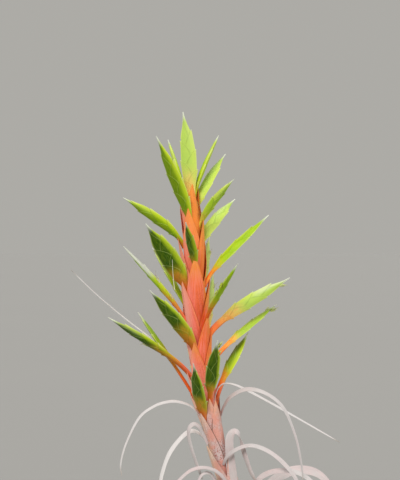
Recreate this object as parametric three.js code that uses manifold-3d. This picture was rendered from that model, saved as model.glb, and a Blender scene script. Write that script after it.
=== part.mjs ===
// A xerographica air plant in flower, as it stands on its own rosette.
//
// Millimetres, +Z up. The origin is the middle of the trimmed, flat underside of the short
// trunk (the caudex). The flower stem leans towards -X. Its near side is -Y.
//
// The caudex carries a nested spiral of channelled leaves, and the flower stem stands on its
// top. The stem is one body with the clasping bracts that grow from it. Every flower spike,
// every strap-like stem leaf and every rosette leaf is a body of its own, seated a fraction of
// a millimetre from what carries it.

import * as THREE from 'three';
import Module from 'manifold-3d';
import { mergeVertices } from 'three/addons/utils/BufferGeometryUtils.js';

// ---------------------------------------------------------------- driving dimensions

const SEAT = 0.35; // gap between a piece and what carries it

// The stem's middle line and clad radius, one value for each STEM_STEP of height.
const STEM_START = 30;
const STEM_STEP = 60;
const STEM_X = [0, -3.5, -14, -29, -43.4, -51.6, -55, -58.4, -63.5, -67];
const STEM_CLAD = [12, 12, 12.8, 13.4, 15.8, 16, 16.8, 16.2, 12.8, 8];
const STEM_FOOT = 43; // height of the stem's lower end, on the caudex
const STEM_TOP = 522; // height of its upper end, under the last spike
const CORE_SHARE = 0.6; // bare stem radius as a share of the clad one
const STEM_SIDES = 10;
const STEM_RINGS = 13;

const BRACT_LENGTH = 84;
const BRACT_WRAP = 1.75; // half of the angle that a bract clasps at its foot, radians
const BRACT_EDGE = 1; // thickness at its free tip
const BRACT_RELIEF = 3.6; // how much nearer to the stem its foot lies than its tip
const BRACT_FLARE = 2; // how far the tip stands off the clad stem
const BRACT_DROOP = 0.8; // how much lower its margins lie than its middle, at the foot

const SPIKE_THICKNESS = 6;
const SPIKE_STALK = 1.8; // half of the depth of a spike's flattened stalk
const SPIKE_FOOT = 3.4; // half of the stalk's width, where a spike gives no other
const SPIKE_PITCH = 14; // distance between one floral bract's tip and the next
const SPIKE_TOOTH = 1.3; // how far a floral bract's tip stands out of the spike's edge
const SPIKE_NOTCH = 0.9; // distance along the spike in which the edge falls back
const SPIKE_TIP = 0.4; // half of the width at the very tip
const SPIKE_SHORT_STALK = 0.18; // a stalk under this share needs no ring in its middle

const STRAP_THICKNESS = 1.1;
const STRAP_RINGS = 17;
const STRAP_TURN = [0, 0.35]; // shares of its length between which a strap changes its roll

const LEAF_COUNT = 18;
const LEAF_TURN = THREE.MathUtils.degToRad(137.508); // from each leaf to the next
const LEAF_FIRST = THREE.MathUtils.degToRad(-14); // bearing of the outermost leaf
const LEAF_RINGS = 13;
const LEAF_WIDTH = 68; // of the outermost leaf at its foot
const HEART_LEAF_WIDTH = 34; // of the innermost leaf at its foot
const LEAF_THICKNESS = 2;
const LEAF_EDGE = 0.9; // thickness at the margins and the tip
const LEAF_GUTTER = 0.34; // rise of the margins as a share of half the width
const LEAF_FEET = 8; // the lowest leaves, whose bent backs touch the ground
const LEAF_FLAT = 0.5; // how deep the ground cuts into them

// The caudex: a low cone, on which each leaf's foot has its own radius.
const HEART_RADIUS = 15; // foot of the innermost leaf
const LEAF_SPACING = 1.6; // between the feet of one leaf and the next
const CAUDEX_RADIUS = HEART_RADIUS + LEAF_SPACING * LEAF_COUNT;
const CAUDEX_BASE = 30; // radius of the flat underside
const CAUDEX_RIM = 8; // height of the widest ring
const CAUDEX_TOP = STEM_FOOT - SEAT;

// ---------------------------------------------------------------- flower spikes
// tip: where the spike ends. root: the height where it leaves the stem. stalk: the share of
// its length that is bare stalk. roll: degrees from facing straight away from the stem. from:
// the bearing of the root in degrees, where the spike doesn't leave the stem towards its tip.
// foot: half of the stalk's width.

const SPIKES = {
  spike_top_left: { tip: [-103.8, -28, 592.5], root: 500, width: 20, stalk: 0.06, roll: -23, from: -96, foot: 4.6 },
  spike_top_left_back: { tip: [-91.3, 42, 593.8], root: 527, width: 13, stalk: 0.1, roll: 48 },
  spike_top_right: { tip: [-26.3, 22, 597.5], root: 531, width: 14, stalk: 0.1, roll: -17 },
  spike_top_right_back: { tip: [-17.5, 36, 575], root: 512, width: 16, stalk: 0.1, roll: 23 },
  spike_top_back: { tip: [-65, 46, 567], root: 490, width: 15, stalk: 0.12, roll: 0 },
  spike_high_right: { tip: [-7.5, -12, 541], root: 491, width: 16, stalk: 0.12, roll: -28 },
  spike_high_right_back: { tip: [-5, 44, 517.5], root: 466, width: 17, stalk: 0.12, roll: 26 },
  spike_high_left: { tip: [-145.6, -6, 517.5], root: 469, width: 16, stalk: 0.14, roll: 46 },
  spike_high_front: { tip: [-67.5, -52, 486.3], root: 440, width: 15, stalk: 0.1, roll: -30, from: -85 },
  spike_high_back: { tip: [-37.5, 56, 470], root: 398, width: 16, stalk: 0.14, roll: 0 },
  spike_mid_left_front: { tip: [-116.3, -38, 485], root: 413, width: 26, stalk: 0.1, roll: 50, foot: 4.6 },
  spike_mid_left_back: { tip: [-111.3, 40, 455], root: 382, width: 15, stalk: 0.14, roll: 5 },
  spike_mid_left: { tip: [-146.3, 6, 457.5], root: 371, width: 14, stalk: 0.16, roll: 30 },
  spike_mid_right: { tip: [36.3, 8, 496.3], root: 420, width: 17, stalk: 0.16, roll: 30 },
  spike_mid_right_front: { tip: [-4.1, -52, 436.3], root: 368, width: 14, stalk: 0.2, roll: 5 },
  spike_mid_back: { tip: [-75, 66, 437], root: 356, width: 16, stalk: 0.16, roll: 0 },
  spike_low_right: { tip: [61.3, -12, 418.1], root: 354, width: 17.5, stalk: 0.24, roll: 66, foot: 4.2 },
  spike_low_right_back: { tip: [-32.5, 62, 425], root: 325, width: 16, stalk: 0.2, roll: 0 },
  spike_low_left_front: { tip: [-111.3, -48, 404.4], root: 334, width: 20, stalk: 0.12, roll: -1, from: -105, foot: 4.6 },
  spike_under_right: { tip: [46.9, 14, 383.8], root: 316, width: 14, stalk: 0.3, roll: 22, foot: 4 },
  spike_under_left: { tip: [-164.4, -8, 368.8], root: 302, width: 15, stalk: 0.3, roll: 33, foot: 4 },
  spike_under_back: { tip: [-65, 64, 352], root: 278, width: 16, stalk: 0.2, roll: 0 },
  spike_under_front: { tip: [-28.8, -52, 343.8], root: 265, width: 19, stalk: 0.26, roll: 0 },
  spike_lowest_left: { tip: [-129.4, 30, 373.1], root: 270, width: 14, stalk: 0.42, roll: 0 },
  spike_lowest_front: { tip: [-58, -54, 316], root: 247, width: 19, stalk: 0.14, roll: 8, from: -122 },
  spike_lowest_right: { tip: [11.3, 22, 347.5], root: 272, width: 16.5, stalk: 0.34, roll: 26, foot: 4.4 },
};

// The spike on the stem's top, whose line bends from its foot round a point towards its tip.
const TERMINAL = {
  foot: [-62, 0, STEM_TOP + SEAT], bend: [-64, 0, 588], tip: [-71.3, 0, 625],
};
const TERMINAL_SHAPE = { width: 21, stalk: 0.04, foot: 6.5 };

// Bracts without a spike of their own, round the stem's foot and under the last spike: height
// of the foot, bearing in degrees, length, and the clasped half angle where it is another.
const SHEATHS = [
  { foot: 62, bearing: 200, length: 84 },
  { foot: 84, bearing: 340, length: 86 },
  { foot: 108, bearing: 100, length: 84 },
  { foot: 118, bearing: 222, length: 92, wrap: 2.4 },
  { foot: 122, bearing: 326, length: 84 },
  { foot: 180, bearing: 308, length: 86 },
  { foot: 183, bearing: 200, length: 90, wrap: 2.4 },
  { foot: 462, bearing: 292, length: 72 },
  { foot: 470, bearing: 70, length: 68 },
  { foot: 480, bearing: 178, length: 58 },
];

// ---------------------------------------------------------------- strap leaves of the stem
// path: points of the middle line, from the stem outwards. width: at foot, middle and tip.
// roll: degrees by which the strap turns about its line, at its foot and further out. turn: the
// shares of its length between which it changes from one to the other, if not STRAP_TURN.

const STRAPS = {
  strap_left_high: {
    width: [5, 5, 2.2], roll: [0, -42],
    path: [[-44, -6, 234], [-52, -8, 249], [-61, -10, 258.5], [-74, -12, 264], [-88, -14, 265],
      [-106, -17, 260], [-125, -21, 246], [-141, -25, 215], [-147.5, -27, 190], [-146, -28, 176]],
  },
  strap_right_high: {
    width: [4.5, 4.5, 1.6], roll: [0, 38],
    path: [[-33, -5, 262], [-30, -6, 274], [-26, -5.5, 282], [-18, -4, 286], [0, 2, 281],
      [40, 12, 259], [86, 21, 232], [127.5, 28, 207.5]],
  },
  strap_right_arch: {
    width: [7, 5.5, 2.2], roll: [15, 48],
    path: [[-27, 9, 234], [-24, 8, 245], [-19.5, 4, 257], [-11, -5, 270], [8, -14, 280],
      [31, -24, 276], [52, -28, 259], [66, -32, 227], [73, -35, 196], [76, -37, 166]],
  },
  strap_left_fold: {
    width: [6, 6, 4], roll: [-35, -50],
    path: [[-40, -9, 212], [-46.5, -13, 226], [-52, -17, 235], [-58.5, -20, 238],
      [-63.5, -22, 233], [-64, -22, 222], [-60, -22, 206], [-54, -21, 188], [-47, -20, 170]],
  },
  strap_left_arch: {
    width: [5, 8, 5], roll: [0, -48],
    path: [[-37, 5, 202], [-43, 7, 214], [-51, 6, 223], [-62, 2, 226], [-75, -3, 217],
      [-89, -7, 198], [-98, -10, 172], [-99, -12, 156]],
  },
  strap_front_low: {
    width: [4.5, 5.5, 4], roll: [-90, -48],
    path: [[-12, -10, 142], [-15, -13.5, 156], [-20, -18, 170], [-31, -23, 181], [-46, -28, 186],
      [-62, -33, 183], [-77, -38, 171], [-88, -41, 158]],
  },
  strap_right_fold: {
    width: [13, 12, 4.5], roll: [80, -50], turn: [0.48, 0.78],
    path: [[-4, -8, 130], [-8, -10, 160], [-12, -11, 190], [-13.5, -11, 214], [-11, -11, 224],
      [-5.5, -12, 227], [-1, -13, 221], [4, -14, 203], [12, -15, 180], [20, -16, 164]],
  },
  strap_right_low: {
    width: [3.4, 7, 6], roll: [80, 48],
    path: [[-21, -10, 186], [-18.5, -14.5, 193.5], [-15, -17, 199], [-7, -20, 205.5],
      [4, -22, 210.5], [15, -25, 212], [27, -28, 209], [40, -31, 202], [53, -34, 191],
      [64, -37, 178], [71, -39, 164]],
  },
  strap_front_curl: {
    width: [6, 5, 3], roll: [-75, -45],
    path: [[-21, -9, 148], [-28, -14.5, 162], [-37, -21, 176.5], [-46, -26, 178], [-52, -29, 170],
      [-54, -31, 158]],
  },
  strap_thread: {
    width: [2.6, 2.2, 1.2], roll: [0, -50],
    path: [[-57, 6, 291], [-68, 16, 300], [-85, 30, 315], [-112, 41, 338], [-147, 40, 365],
      [-182, 26, 396], [-212.5, 10, 427.5]],
  },
  strap_heart_near: {
    width: [8, 10, 5], roll: [0, 40],
    path: [[11, -9, 62], [12, -10, 100], [14, -12, 138], [21, -15, 165], [34, -18, 176.5],
      [53, -23, 181], [72, -26, 178], [88, -28, 167], [97, -29, 150], [98, -29, 134]],
  },
  strap_heart_far: {
    width: [12, 22, 6], roll: [0, 42],
    path: [[12.5, 2, 64], [13, 2, 100], [23, 5, 136], [43, 9, 161], [66, 12, 173.5],
      [91, 13, 173], [109, 13, 161], [116, 12, 143], [111, 11, 126]],
  },
};

// ---------------------------------------------------------------- helpers

const wasm = await Module();
wasm.setup();

const vec = (x, y, z) => new THREE.Vector3(x, y, z);
const { lerp, smoothstep, degToRad } = THREE.MathUtils;

// A repeatable number from -1 to 1 for a piece's index and a purpose.
function jitter(index, purpose) {
  const wave = Math.sin(index * 12.9898 + purpose * 78.233) * 43758.5453;
  return 2 * (wave - Math.floor(wave)) - 1;
}

// A value at a height of the stem, from a list with one entry for each STEM_STEP.
function stemValue(list, z) {
  const place = (z - STEM_START) / STEM_STEP;
  const i = Math.min(Math.max(Math.floor(place), 0), list.length - 2);
  const t = place - i;
  const before = list[i - 1] ?? 2 * list[i] - list[i + 1];
  const after = list[i + 2] ?? 2 * list[i + 1] - list[i];
  const leave = (list[i + 1] - before) / 2;
  const arrive = (after - list[i]) / 2;
  const rise = list[i + 1] - list[i];
  return list[i] + t * (leave + t * (3 * rise - 2 * leave - arrive + t * (leave + arrive - 2 * rise)));
}

const stemX = (z) => stemValue(STEM_X, z);
const cladRadius = (z) => stemValue(STEM_CLAD, z);
const coreRadius = (z) => CORE_SHARE * cladRadius(z);

// The point at a height, bearing and distance from the stem's middle line.
function aroundStem(z, bearing, radius) {
  return vec(stemX(z) + radius * Math.cos(bearing), radius * Math.sin(bearing), z);
}

// A closed skin over a row of rings. A ring's points run round its direction of travel, the
// first half on one face and the second half back on the other, and the two faces are split
// into triangles alike.
function loft(rings) {
  const n = rings[0].length;
  const half = n / 2;
  const index = [];
  for (let i = 0; i + 1 < rings.length; i++) {
    for (let j = 0; j < n; j++) {
      const k = (j + 1) % n;
      const [a, b, c, d] = [i * n + j, i * n + k, (i + 1) * n + k, (i + 1) * n + j];
      if (j < half) index.push(a, b, c, a, c, d);
      else index.push(a, b, d, b, c, d);
    }
  }
  const last = (rings.length - 1) * n;
  for (let j = 0; j + 1 < half; j++) {
    const [a, b, c, d] = [j, j + 1, n - 2 - j, n - 1 - j];
    index.push(a, c, b, a, d, c);
    index.push(last + a, last + b, last + c, last + a, last + c, last + d);
  }
  const geometry = new THREE.BufferGeometry();
  const values = rings.flat().flatMap((point) => point.toArray());
  geometry.setAttribute('position', new THREE.Float32BufferAttribute(values, 3));
  geometry.setIndex(index);
  return geometry;
}

function toSolid(geometry) {
  const plain = geometry.clone();
  plain.deleteAttribute('normal');
  plain.deleteAttribute('uv');
  const merged = mergeVertices(plain, 1e-4);
  const vertProperties = new Float32Array(merged.attributes.position.array);
  const triVerts = new Uint32Array(merged.index.array);
  return new wasm.Manifold(new wasm.Mesh({ numProp: 3, vertProperties, triVerts }));
}

function toGeometry(solid) {
  const { vertProperties, triVerts, numProp } = solid.getMesh();
  const values = [];
  for (let i = 0; i < vertProperties.length; i += numProp) {
    values.push(vertProperties[i], vertProperties[i + 1], vertProperties[i + 2]);
  }
  const geometry = new THREE.BufferGeometry();
  geometry.setAttribute('position', new THREE.Float32BufferAttribute(values, 3));
  geometry.setIndex(Array.from(triVerts));
  return geometry;
}

// The largest body of a solid, without scraps or sealed hollows.
function largest(solid) {
  return solid.decompose().reduce((best, body) => (body.volume() > best.volume() ? body : best));
}

// ---------------------------------------------------------------- caudex

// The dry trimmed trunk: a low turned cone with a rounded shoulder and a flat underside.
function caudexGeometry(grow) {
  const profile = [
    [0, -grow],
    [CAUDEX_BASE + grow, -grow],
    [CAUDEX_RADIUS + grow, CAUDEX_RIM - 3],
    [CAUDEX_RADIUS + grow, CAUDEX_RIM + grow],
    [HEART_RADIUS - 1 + grow, CAUDEX_TOP + grow],
    [0, CAUDEX_TOP + grow],
  ];
  const geometry = new THREE.LatheGeometry(profile.map(([r, z]) => new THREE.Vector2(r, z)), 30);
  return geometry.rotateX(Math.PI / 2);
}

// ---------------------------------------------------------------- stem and bracts

function coreSolid(grow) {
  const rings = [];
  for (let i = 0; i < STEM_RINGS; i++) {
    const share = i / (STEM_RINGS - 1);
    const z = lerp(STEM_FOOT - grow, STEM_TOP + grow, share);
    const ring = [];
    for (let j = 0; j < STEM_SIDES; j++) {
      const bearing = (2 * Math.PI * j) / STEM_SIDES;
      ring.push(aroundStem(z, bearing, coreRadius(z) + grow));
    }
    rings.push(ring);
  }
  return toSolid(loft(rings));
}

// A clasping bract: it leaves the stem at its foot, swells to the clad radius, and narrows to
// a point that stands a little off the stem. Below its middle it is solid to the core.
function bractSolid({ foot, bearing, length, wrap = BRACT_WRAP }, grow) {
  const rows = 5;
  const strips = wrap > BRACT_WRAP ? 3 : 2; // on either side of its middle
  const across = Array.from({ length: 2 * strips + 1 }, (_, i) => 1 - i / strips);
  const rings = [];
  for (let i = 0; i < rows; i++) {
    const u = i / (rows - 1);
    const z = lerp(foot - grow, foot + length + 2 * grow, u);
    const core = coreRadius(z);
    const swell = 0.15 + 0.85 * Math.sin((Math.PI / 2) * Math.min(1, 1.6 * u));
    const clad = cladRadius(z) - BRACT_RELIEF * (1 - u);
    const outer = lerp(core, clad, swell) + BRACT_FLARE * u ** 4 + grow;
    const free = smoothstep(u, 0.4, 0.85);
    const inner = lerp(0.5 * core, outer - 2 * grow - BRACT_EDGE, free);
    const half = wrap * (1 - u) + (0.5 + grow) / outer;
    const droop = BRACT_DROOP * (1 - u);
    const outside = across.map((v) => aroundStem(z, bearing - v * half, outer - droop * v * v));
    const inside = across.map((v) => aroundStem(z, bearing + v * half, inner - droop * v * v));
    rings.push([...outside, ...inside]);
  }
  return toSolid(loft(rings));
}

// The bearing at which a spike leaves the stem.
function spikeBearing({ tip, root, from }) {
  return from === undefined ? Math.atan2(tip[1], tip[0] - stemX(root)) : degToRad(from);
}

function stemSolid(grow) {
  let solid = coreSolid(grow);
  for (const sheath of SHEATHS) {
    const bearing = degToRad(sheath.bearing);
    solid = solid.add(bractSolid({ ...sheath, bearing }, grow));
  }
  for (const spike of Object.values(SPIKES)) {
    const foot = spike.root - BRACT_LENGTH + 4;
    const bract = { foot, bearing: spikeBearing(spike), length: BRACT_LENGTH };
    solid = solid.add(bractSolid(bract, grow));
  }
  return largest(solid);
}

// ---------------------------------------------------------------- spikes

// Half of a spike's width at a share u of its blade, for a full half width of 1.
const spikeOutline = (u) => Math.sin(Math.PI * u ** 0.72) ** 0.8;

// The places along a spike where a ring is needed: its stalk, and before and after the tip
// of each floral bract, which stand on alternate sides.
function spikeStations(length, stalk) {
  const blade = length * (1 - stalk);
  const bracts = Math.round(blade / SPIKE_PITCH);
  const stations = [];
  const bare = stalk < SPIKE_SHORT_STALK ? [0, 0.9] : [0, 0.5, 0.9];
  for (const share of bare) stations.push({ at: share * stalk, teeth: [0, 0], u: 0 });
  const notch = SPIKE_NOTCH / blade;
  for (let k = 1; k <= bracts; k++) {
    const u = (k + 0.15) / (bracts + 1);
    const side = k % 2;
    const other = 0.5;
    const before = side ? [1, other] : [other, 1];
    const after = side ? [0, other] : [other, 0];
    stations.push({ at: lerp(stalk, 1, u), teeth: before, u });
    stations.push({ at: lerp(stalk, 1, u + notch), teeth: after, u: u + notch });
  }
  stations.push({ at: 1, teeth: [0, 0], u: 1 });
  return stations;
}

function spikeGeometry(curve, { width, stalk, foot = SPIKE_FOOT }, faceTowards) {
  const length = curve.getLength();
  const rings = spikeStations(length, stalk).map(({ at, teeth, u }) => {
    const centre = curve.getPointAt(at);
    const along = curve.getTangentAt(at);
    const side = faceTowards.clone().cross(along).normalize();
    const face = along.clone().cross(side);
    const bare = u === 0;
    const tooth = bare || u === 1 ? 0 : SPIKE_TOOTH;
    const blade = (width / 2 - SPIKE_TOOTH) * spikeOutline(u);
    const reach = Math.max(SPIKE_TIP, Math.cbrt((foot * (1 - u)) ** 3 + blade ** 3));
    const deep = (SPIKE_THICKNESS / 2) * spikeOutline(u) ** 0.7;
    const thick = Math.max(SPIKE_TIP, Math.cbrt((SPIKE_STALK * (1 - u)) ** 3 + deep ** 3));
    const place = (across, up) => centre.clone().addScaledVector(side, across).addScaledVector(face, up);
    return [
      place(reach + tooth * teeth[0], 0),
      place(0, thick),
      place(-reach - tooth * teeth[1], 0),
      place(0, -thick),
    ];
  });
  return loft(rings);
}

// A lateral spike: it rises in the bract's lap, bends away and runs on to its tip.
function spikeSolid(spike) {
  const bearing = spikeBearing(spike);
  const tip = vec(...spike.tip);
  const lap = aroundStem(spike.root - 14, bearing, coreRadius(spike.root) + 1.5);
  const neck = aroundStem(spike.root + 8, bearing, cladRadius(spike.root) + 1);
  const middle = neck.clone().lerp(tip, 0.5);
  const curve = new THREE.CubicBezierCurve3(lap, neck, middle, tip);
  const facing = bearing + degToRad(spike.roll);
  const faceTowards = vec(Math.cos(facing), Math.sin(facing), 0);
  return toSolid(spikeGeometry(curve, spike, faceTowards));
}

function terminalSolid() {
  const points = [TERMINAL.foot, TERMINAL.bend, TERMINAL.tip].map((point) => vec(...point));
  const curve = new THREE.QuadraticBezierCurve3(...points);
  return toSolid(spikeGeometry(curve, TERMINAL_SHAPE, vec(0, -1, 0)));
}

// ---------------------------------------------------------------- straps

function strapGeometry({ path, width, roll, turn = STRAP_TURN }) {
  const curve = new THREE.CatmullRomCurve3(path.map((p) => vec(...p)), false, 'catmullrom', 0.5);
  const rings = [];
  for (let i = 0; i < STRAP_RINGS; i++) {
    const u = i / (STRAP_RINGS - 1);
    const centre = curve.getPointAt(u);
    const along = curve.getTangentAt(u);
    const tilt = degToRad(lerp(roll[0], roll[1], smoothstep(u, turn[0], turn[1])));
    const level = vec(0, 1, 0).addScaledVector(along, -along.y).normalize();
    const upright = along.clone().cross(level);
    const flat = level.clone().multiplyScalar(Math.cos(tilt)).addScaledVector(upright, Math.sin(tilt));
    const face = along.clone().cross(flat);
    const half = lerp(lerp(width[0], width[1], u), lerp(width[1], width[2], u), u) / 2;
    const thick = (STRAP_THICKNESS / 2) * lerp(1, 0.6, u);
    const place = (a, b) => centre.clone().addScaledVector(flat, a).addScaledVector(face, b);
    rings.push([place(half, thick), place(-half, thick), place(-half, -thick), place(half, -thick)]);
  }
  return loft(rings);
}

// ---------------------------------------------------------------- rosette leaves

// The middle line of a leaf, as radius (x) and height (z). share is 0 for the outermost leaf
// and 1 for the innermost.
function leafCurve(index, drop) {
  const share = index / (LEAF_COUNT - 1);
  const foot = CAUDEX_RADIUS - LEAF_SPACING * (index + 0.5);
  const seat = lerp(CAUDEX_RIM + 1, CAUDEX_TOP - 2, (CAUDEX_RADIUS - foot) / (CAUDEX_RADIUS - HEART_RADIUS));
  const reach = lerp(232, 128, share) + 8 * jitter(index, 1);
  const peak = lerp(58, 146, share) + 4 * jitter(index, 2);
  const peakAt = lerp(128, 74, share);
  const low = (index < LEAF_FEET ? 2 : lerp(-60, 92, share) + 5 * jitter(index, 3)) - drop;
  const points = [
    vec(foot - 2, 0, seat - 5),
    vec(foot + lerp(26, 2, share), 0, seat + lerp(22, 44, share)),
    vec(peakAt - lerp(34, 22, share), 0, peak - lerp(7, 14, share)),
    vec(peakAt, 0, peak),
    vec(lerp(peakAt, reach, 0.7), 0, lerp(low, peak, 0.78)),
    vec(reach, 0, lerp(low, peak, 0.4)),
    vec(reach - 14, 0, low + 3),
    vec(reach - 34, 0, low + lerp(1, 8, share)),
    vec(reach - 44, 0, low + 20),
  ];
  return new THREE.CatmullRomCurve3(points, false, 'catmullrom', 0.5);
}

function leafGeometry(index, drop) {
  const curve = leafCurve(index, drop);
  const share = index / (LEAF_COUNT - 1);
  const bearing = LEAF_FIRST + index * LEAF_TURN;
  const sweep = 0.3 * jitter(index, 4);
  const width = lerp(LEAF_WIDTH, HEART_LEAF_WIDTH, share);
  const rings = [];
  for (let i = 0; i < LEAF_RINGS; i++) {
    const u = 1 - (1 - i / (LEAF_RINGS - 1)) ** 1.2;
    const { x: radius, z: height } = curve.getPointAt(u);
    const { x: out, z: up } = curve.getTangentAt(u);
    const half = LEAF_EDGE / 2 + (width / 2) * (1 - u) ** 0.85;
    const wrap = half / radius;
    const gutter = LEAF_GUTTER * smoothstep(u, 0.05, 0.4);
    const turn = bearing + sweep * u * u;
    const point = (v, faceSign) => {
      const thick = lerp(LEAF_THICKNESS, LEAF_EDGE, Math.max(v * v, u)) / 2;
      const rise = gutter * half * v * v + faceSign * thick;
      const distance = radius * Math.cos(v * wrap) - up * rise;
      const sideways = radius * Math.sin(v * wrap);
      return vec(
        distance * Math.cos(turn) - sideways * Math.sin(turn),
        distance * Math.sin(turn) + sideways * Math.cos(turn),
        height + out * rise,
      );
    };
    rings.push([point(1, 1), point(0, 1), point(-1, 1), point(-1, -1), point(0, -1), point(1, -1)]);
  }
  return loft(rings);
}

// A leaf, cut level where it meets the ground. One of the lowest leaves is first let down
// until its bent back sinks LEAF_FLAT into the ground.
function leafSolid(index) {
  let geometry = leafGeometry(index, 0);
  if (index < LEAF_FEET) {
    geometry.computeBoundingBox();
    geometry = leafGeometry(index, geometry.boundingBox.min.z + LEAF_FLAT);
  }
  return toSolid(geometry).trimByPlane([0, 0, 1], 0);
}

// ---------------------------------------------------------------- assembly

const finish = (color, roughness) => ({ color, roughness, metalness: 0 });
const DRY = finish(0x8a6f52, 0.9);
const BRACT = finish(0xf08a72, 0.6);
const SPIKE = finish(0xa9c83c, 0.55);
const STRAP = finish(0xcfc6bf, 0.8);
const LEAF = finish(0xb9c2b4, 0.85);

const plant = new THREE.Group();

function addPiece(name, geometry, look) {
  const mesh = new THREE.Mesh(geometry, new THREE.MeshStandardMaterial(look));
  mesh.name = name;
  plant.add(mesh);
}

const caudexCutter = toSolid(caudexGeometry(SEAT));
const stemCutter = stemSolid(SEAT);

addPiece('caudex', caudexGeometry(0), DRY);
addPiece('flower_stem', toGeometry(stemSolid(0)), BRACT);
addPiece('spike_terminal', toGeometry(largest(terminalSolid().subtract(stemCutter))), SPIKE);
for (const [name, spike] of Object.entries(SPIKES)) {
  addPiece(name, toGeometry(largest(spikeSolid(spike).subtract(stemCutter))), SPIKE);
}
for (const [name, strap] of Object.entries(STRAPS)) {
  const body = toSolid(strapGeometry(strap)).subtract(stemCutter).subtract(caudexCutter);
  addPiece(name, toGeometry(largest(body)), STRAP);
}
for (let index = 0; index < LEAF_COUNT; index++) {
  const body = leafSolid(index).subtract(caudexCutter);
  addPiece(`leaf_${String(index + 1).padStart(2, '0')}`, toGeometry(largest(body)), LEAF);
}

export default plant;
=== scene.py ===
"""Looks of the xerographica air plant in flower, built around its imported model.

Each piece follows the middle line, widths and seat of the CAD node that it stands for, in
finer steps and with its real folds, edges and overlaps. Lengths in the tables and in the
shape functions are millimetres; make_piece turns them into metres.
"""

import math
from typing import NamedTuple

import bpy
import numpy as np
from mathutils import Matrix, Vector


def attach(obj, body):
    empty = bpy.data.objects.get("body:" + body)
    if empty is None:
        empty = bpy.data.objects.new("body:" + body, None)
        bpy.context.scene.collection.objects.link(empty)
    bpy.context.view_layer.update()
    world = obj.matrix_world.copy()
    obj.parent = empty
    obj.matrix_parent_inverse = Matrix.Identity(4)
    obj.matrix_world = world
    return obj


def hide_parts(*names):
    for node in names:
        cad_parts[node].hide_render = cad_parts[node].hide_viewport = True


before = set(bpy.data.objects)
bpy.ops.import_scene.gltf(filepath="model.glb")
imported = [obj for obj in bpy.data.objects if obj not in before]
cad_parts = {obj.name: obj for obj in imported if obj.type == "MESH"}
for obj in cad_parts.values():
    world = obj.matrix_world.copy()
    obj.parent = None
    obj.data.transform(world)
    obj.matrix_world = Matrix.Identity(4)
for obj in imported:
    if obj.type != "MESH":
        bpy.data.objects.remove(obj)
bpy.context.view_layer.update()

MM = 0.001

# ---------------------------------------------------------------- stem and spike sizes

# The stem's middle line and its radius with the bracts, at heights from STEM_START on in steps
# of STEM_STEP.
STEM_START, STEM_STEP = 30, 60
STEM_X = np.array([0, -3.5, -14, -29, -43.4, -51.6, -55, -58.4, -63.5, -67])
STEM_CLAD = np.array([12, 12, 12.8, 13.4, 15.8, 16, 16.8, 16.2, 12.8, 8])
STEM_FOOT, STEM_TOP = 43, 522
CORE_SHARE = 0.6  # radius of the bare stem, as a share of the clad one
CORE_ROWS, CORE_SIDES = 80, 28

BRACT_LENGTH = 84  # of a bract that clasps the stem under a spike
BRACT_WRAP = 1.75  # half of the angle it clasps at its foot, radians
BRACT_RELIEF = 3.6  # how much nearer to the stem its foot lies than its tip
BRACT_FLARE = 3.2  # how far its tip stands off the clad stem
BRACT_DROOP = 0.8  # how much nearer to the stem its margins lie than its middle, at the foot
BRACT_WAVE = 0.3  # of its margins
BRACT_KEEL = 0.5
BRACT_SKIN = 0.5
BRACT_ROWS, BRACT_COLUMNS = 40, 25

SPIKE_THICKNESS = 6
SPIKE_STALK = 1.8  # half of the depth of a spike's flattened stalk
SPIKE_PITCH = 14  # distance between one floral bract's tip and the next
SPIKE_TOOTH = 1.3  # of its half width, left for the bracts' tips
SPIKE_TIP = 0.4  # half of the width at the very tip
# Where a spike's line starts, low in its bract's lap, and where it bends away: height over its
# root, and distance off the bare stem and off the clad one.
SPIKE_LAP, SPIKE_NECK = (-14, 1.5), (8, 1)
AXIS_END = 0.8  # share of the blade's length at which the axis inside it ends
AXIS_ROWS, AXIS_SIDES = 30, 18
YELLOWING = 370, 480  # heights of the root between which a spike's foot turns yellow
FLORAL_REACH = 2.7  # length of a floral bract, in pitches
FLORAL_SKIN = 0.24
FLORAL_GAP = 0.06  # between its two sides and the middle plane, at its margins
FLORAL_WRAP = 1.5  # width of its side, in half widths of the spike
FLORAL_LAYER = 0.55  # how much higher its tip lies than its foot
FLORAL_TOOTH = 2.1  # how far its tip stands out of the spike's edge
FLORAL_TAPER = 0.6  # how much finer than the rest the spike's tip is drawn out
FLORAL_ROWS, FLORAL_COLUMNS = 20, 17


class Spike(NamedTuple):
    """A flower spike: its tip, the height of its root, its width, the share of its length that
    is bare stalk and its roll in degrees. Then its looks: how deep its green is, partly its own
    colour and partly painted shade (below 0, how pale, partly painted light), the share of its
    length that is orange and yellow, and the silver of its upper edge.
    Then half of the stalk's width, and the bearing of the root in degrees where the spike
    doesn't leave the stem towards its tip."""

    tip: tuple
    root: float
    width: float
    stalk: float
    roll: float
    shade: float
    warm: float
    frost: float
    foot: float = 3.4
    bearing: float = None


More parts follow.
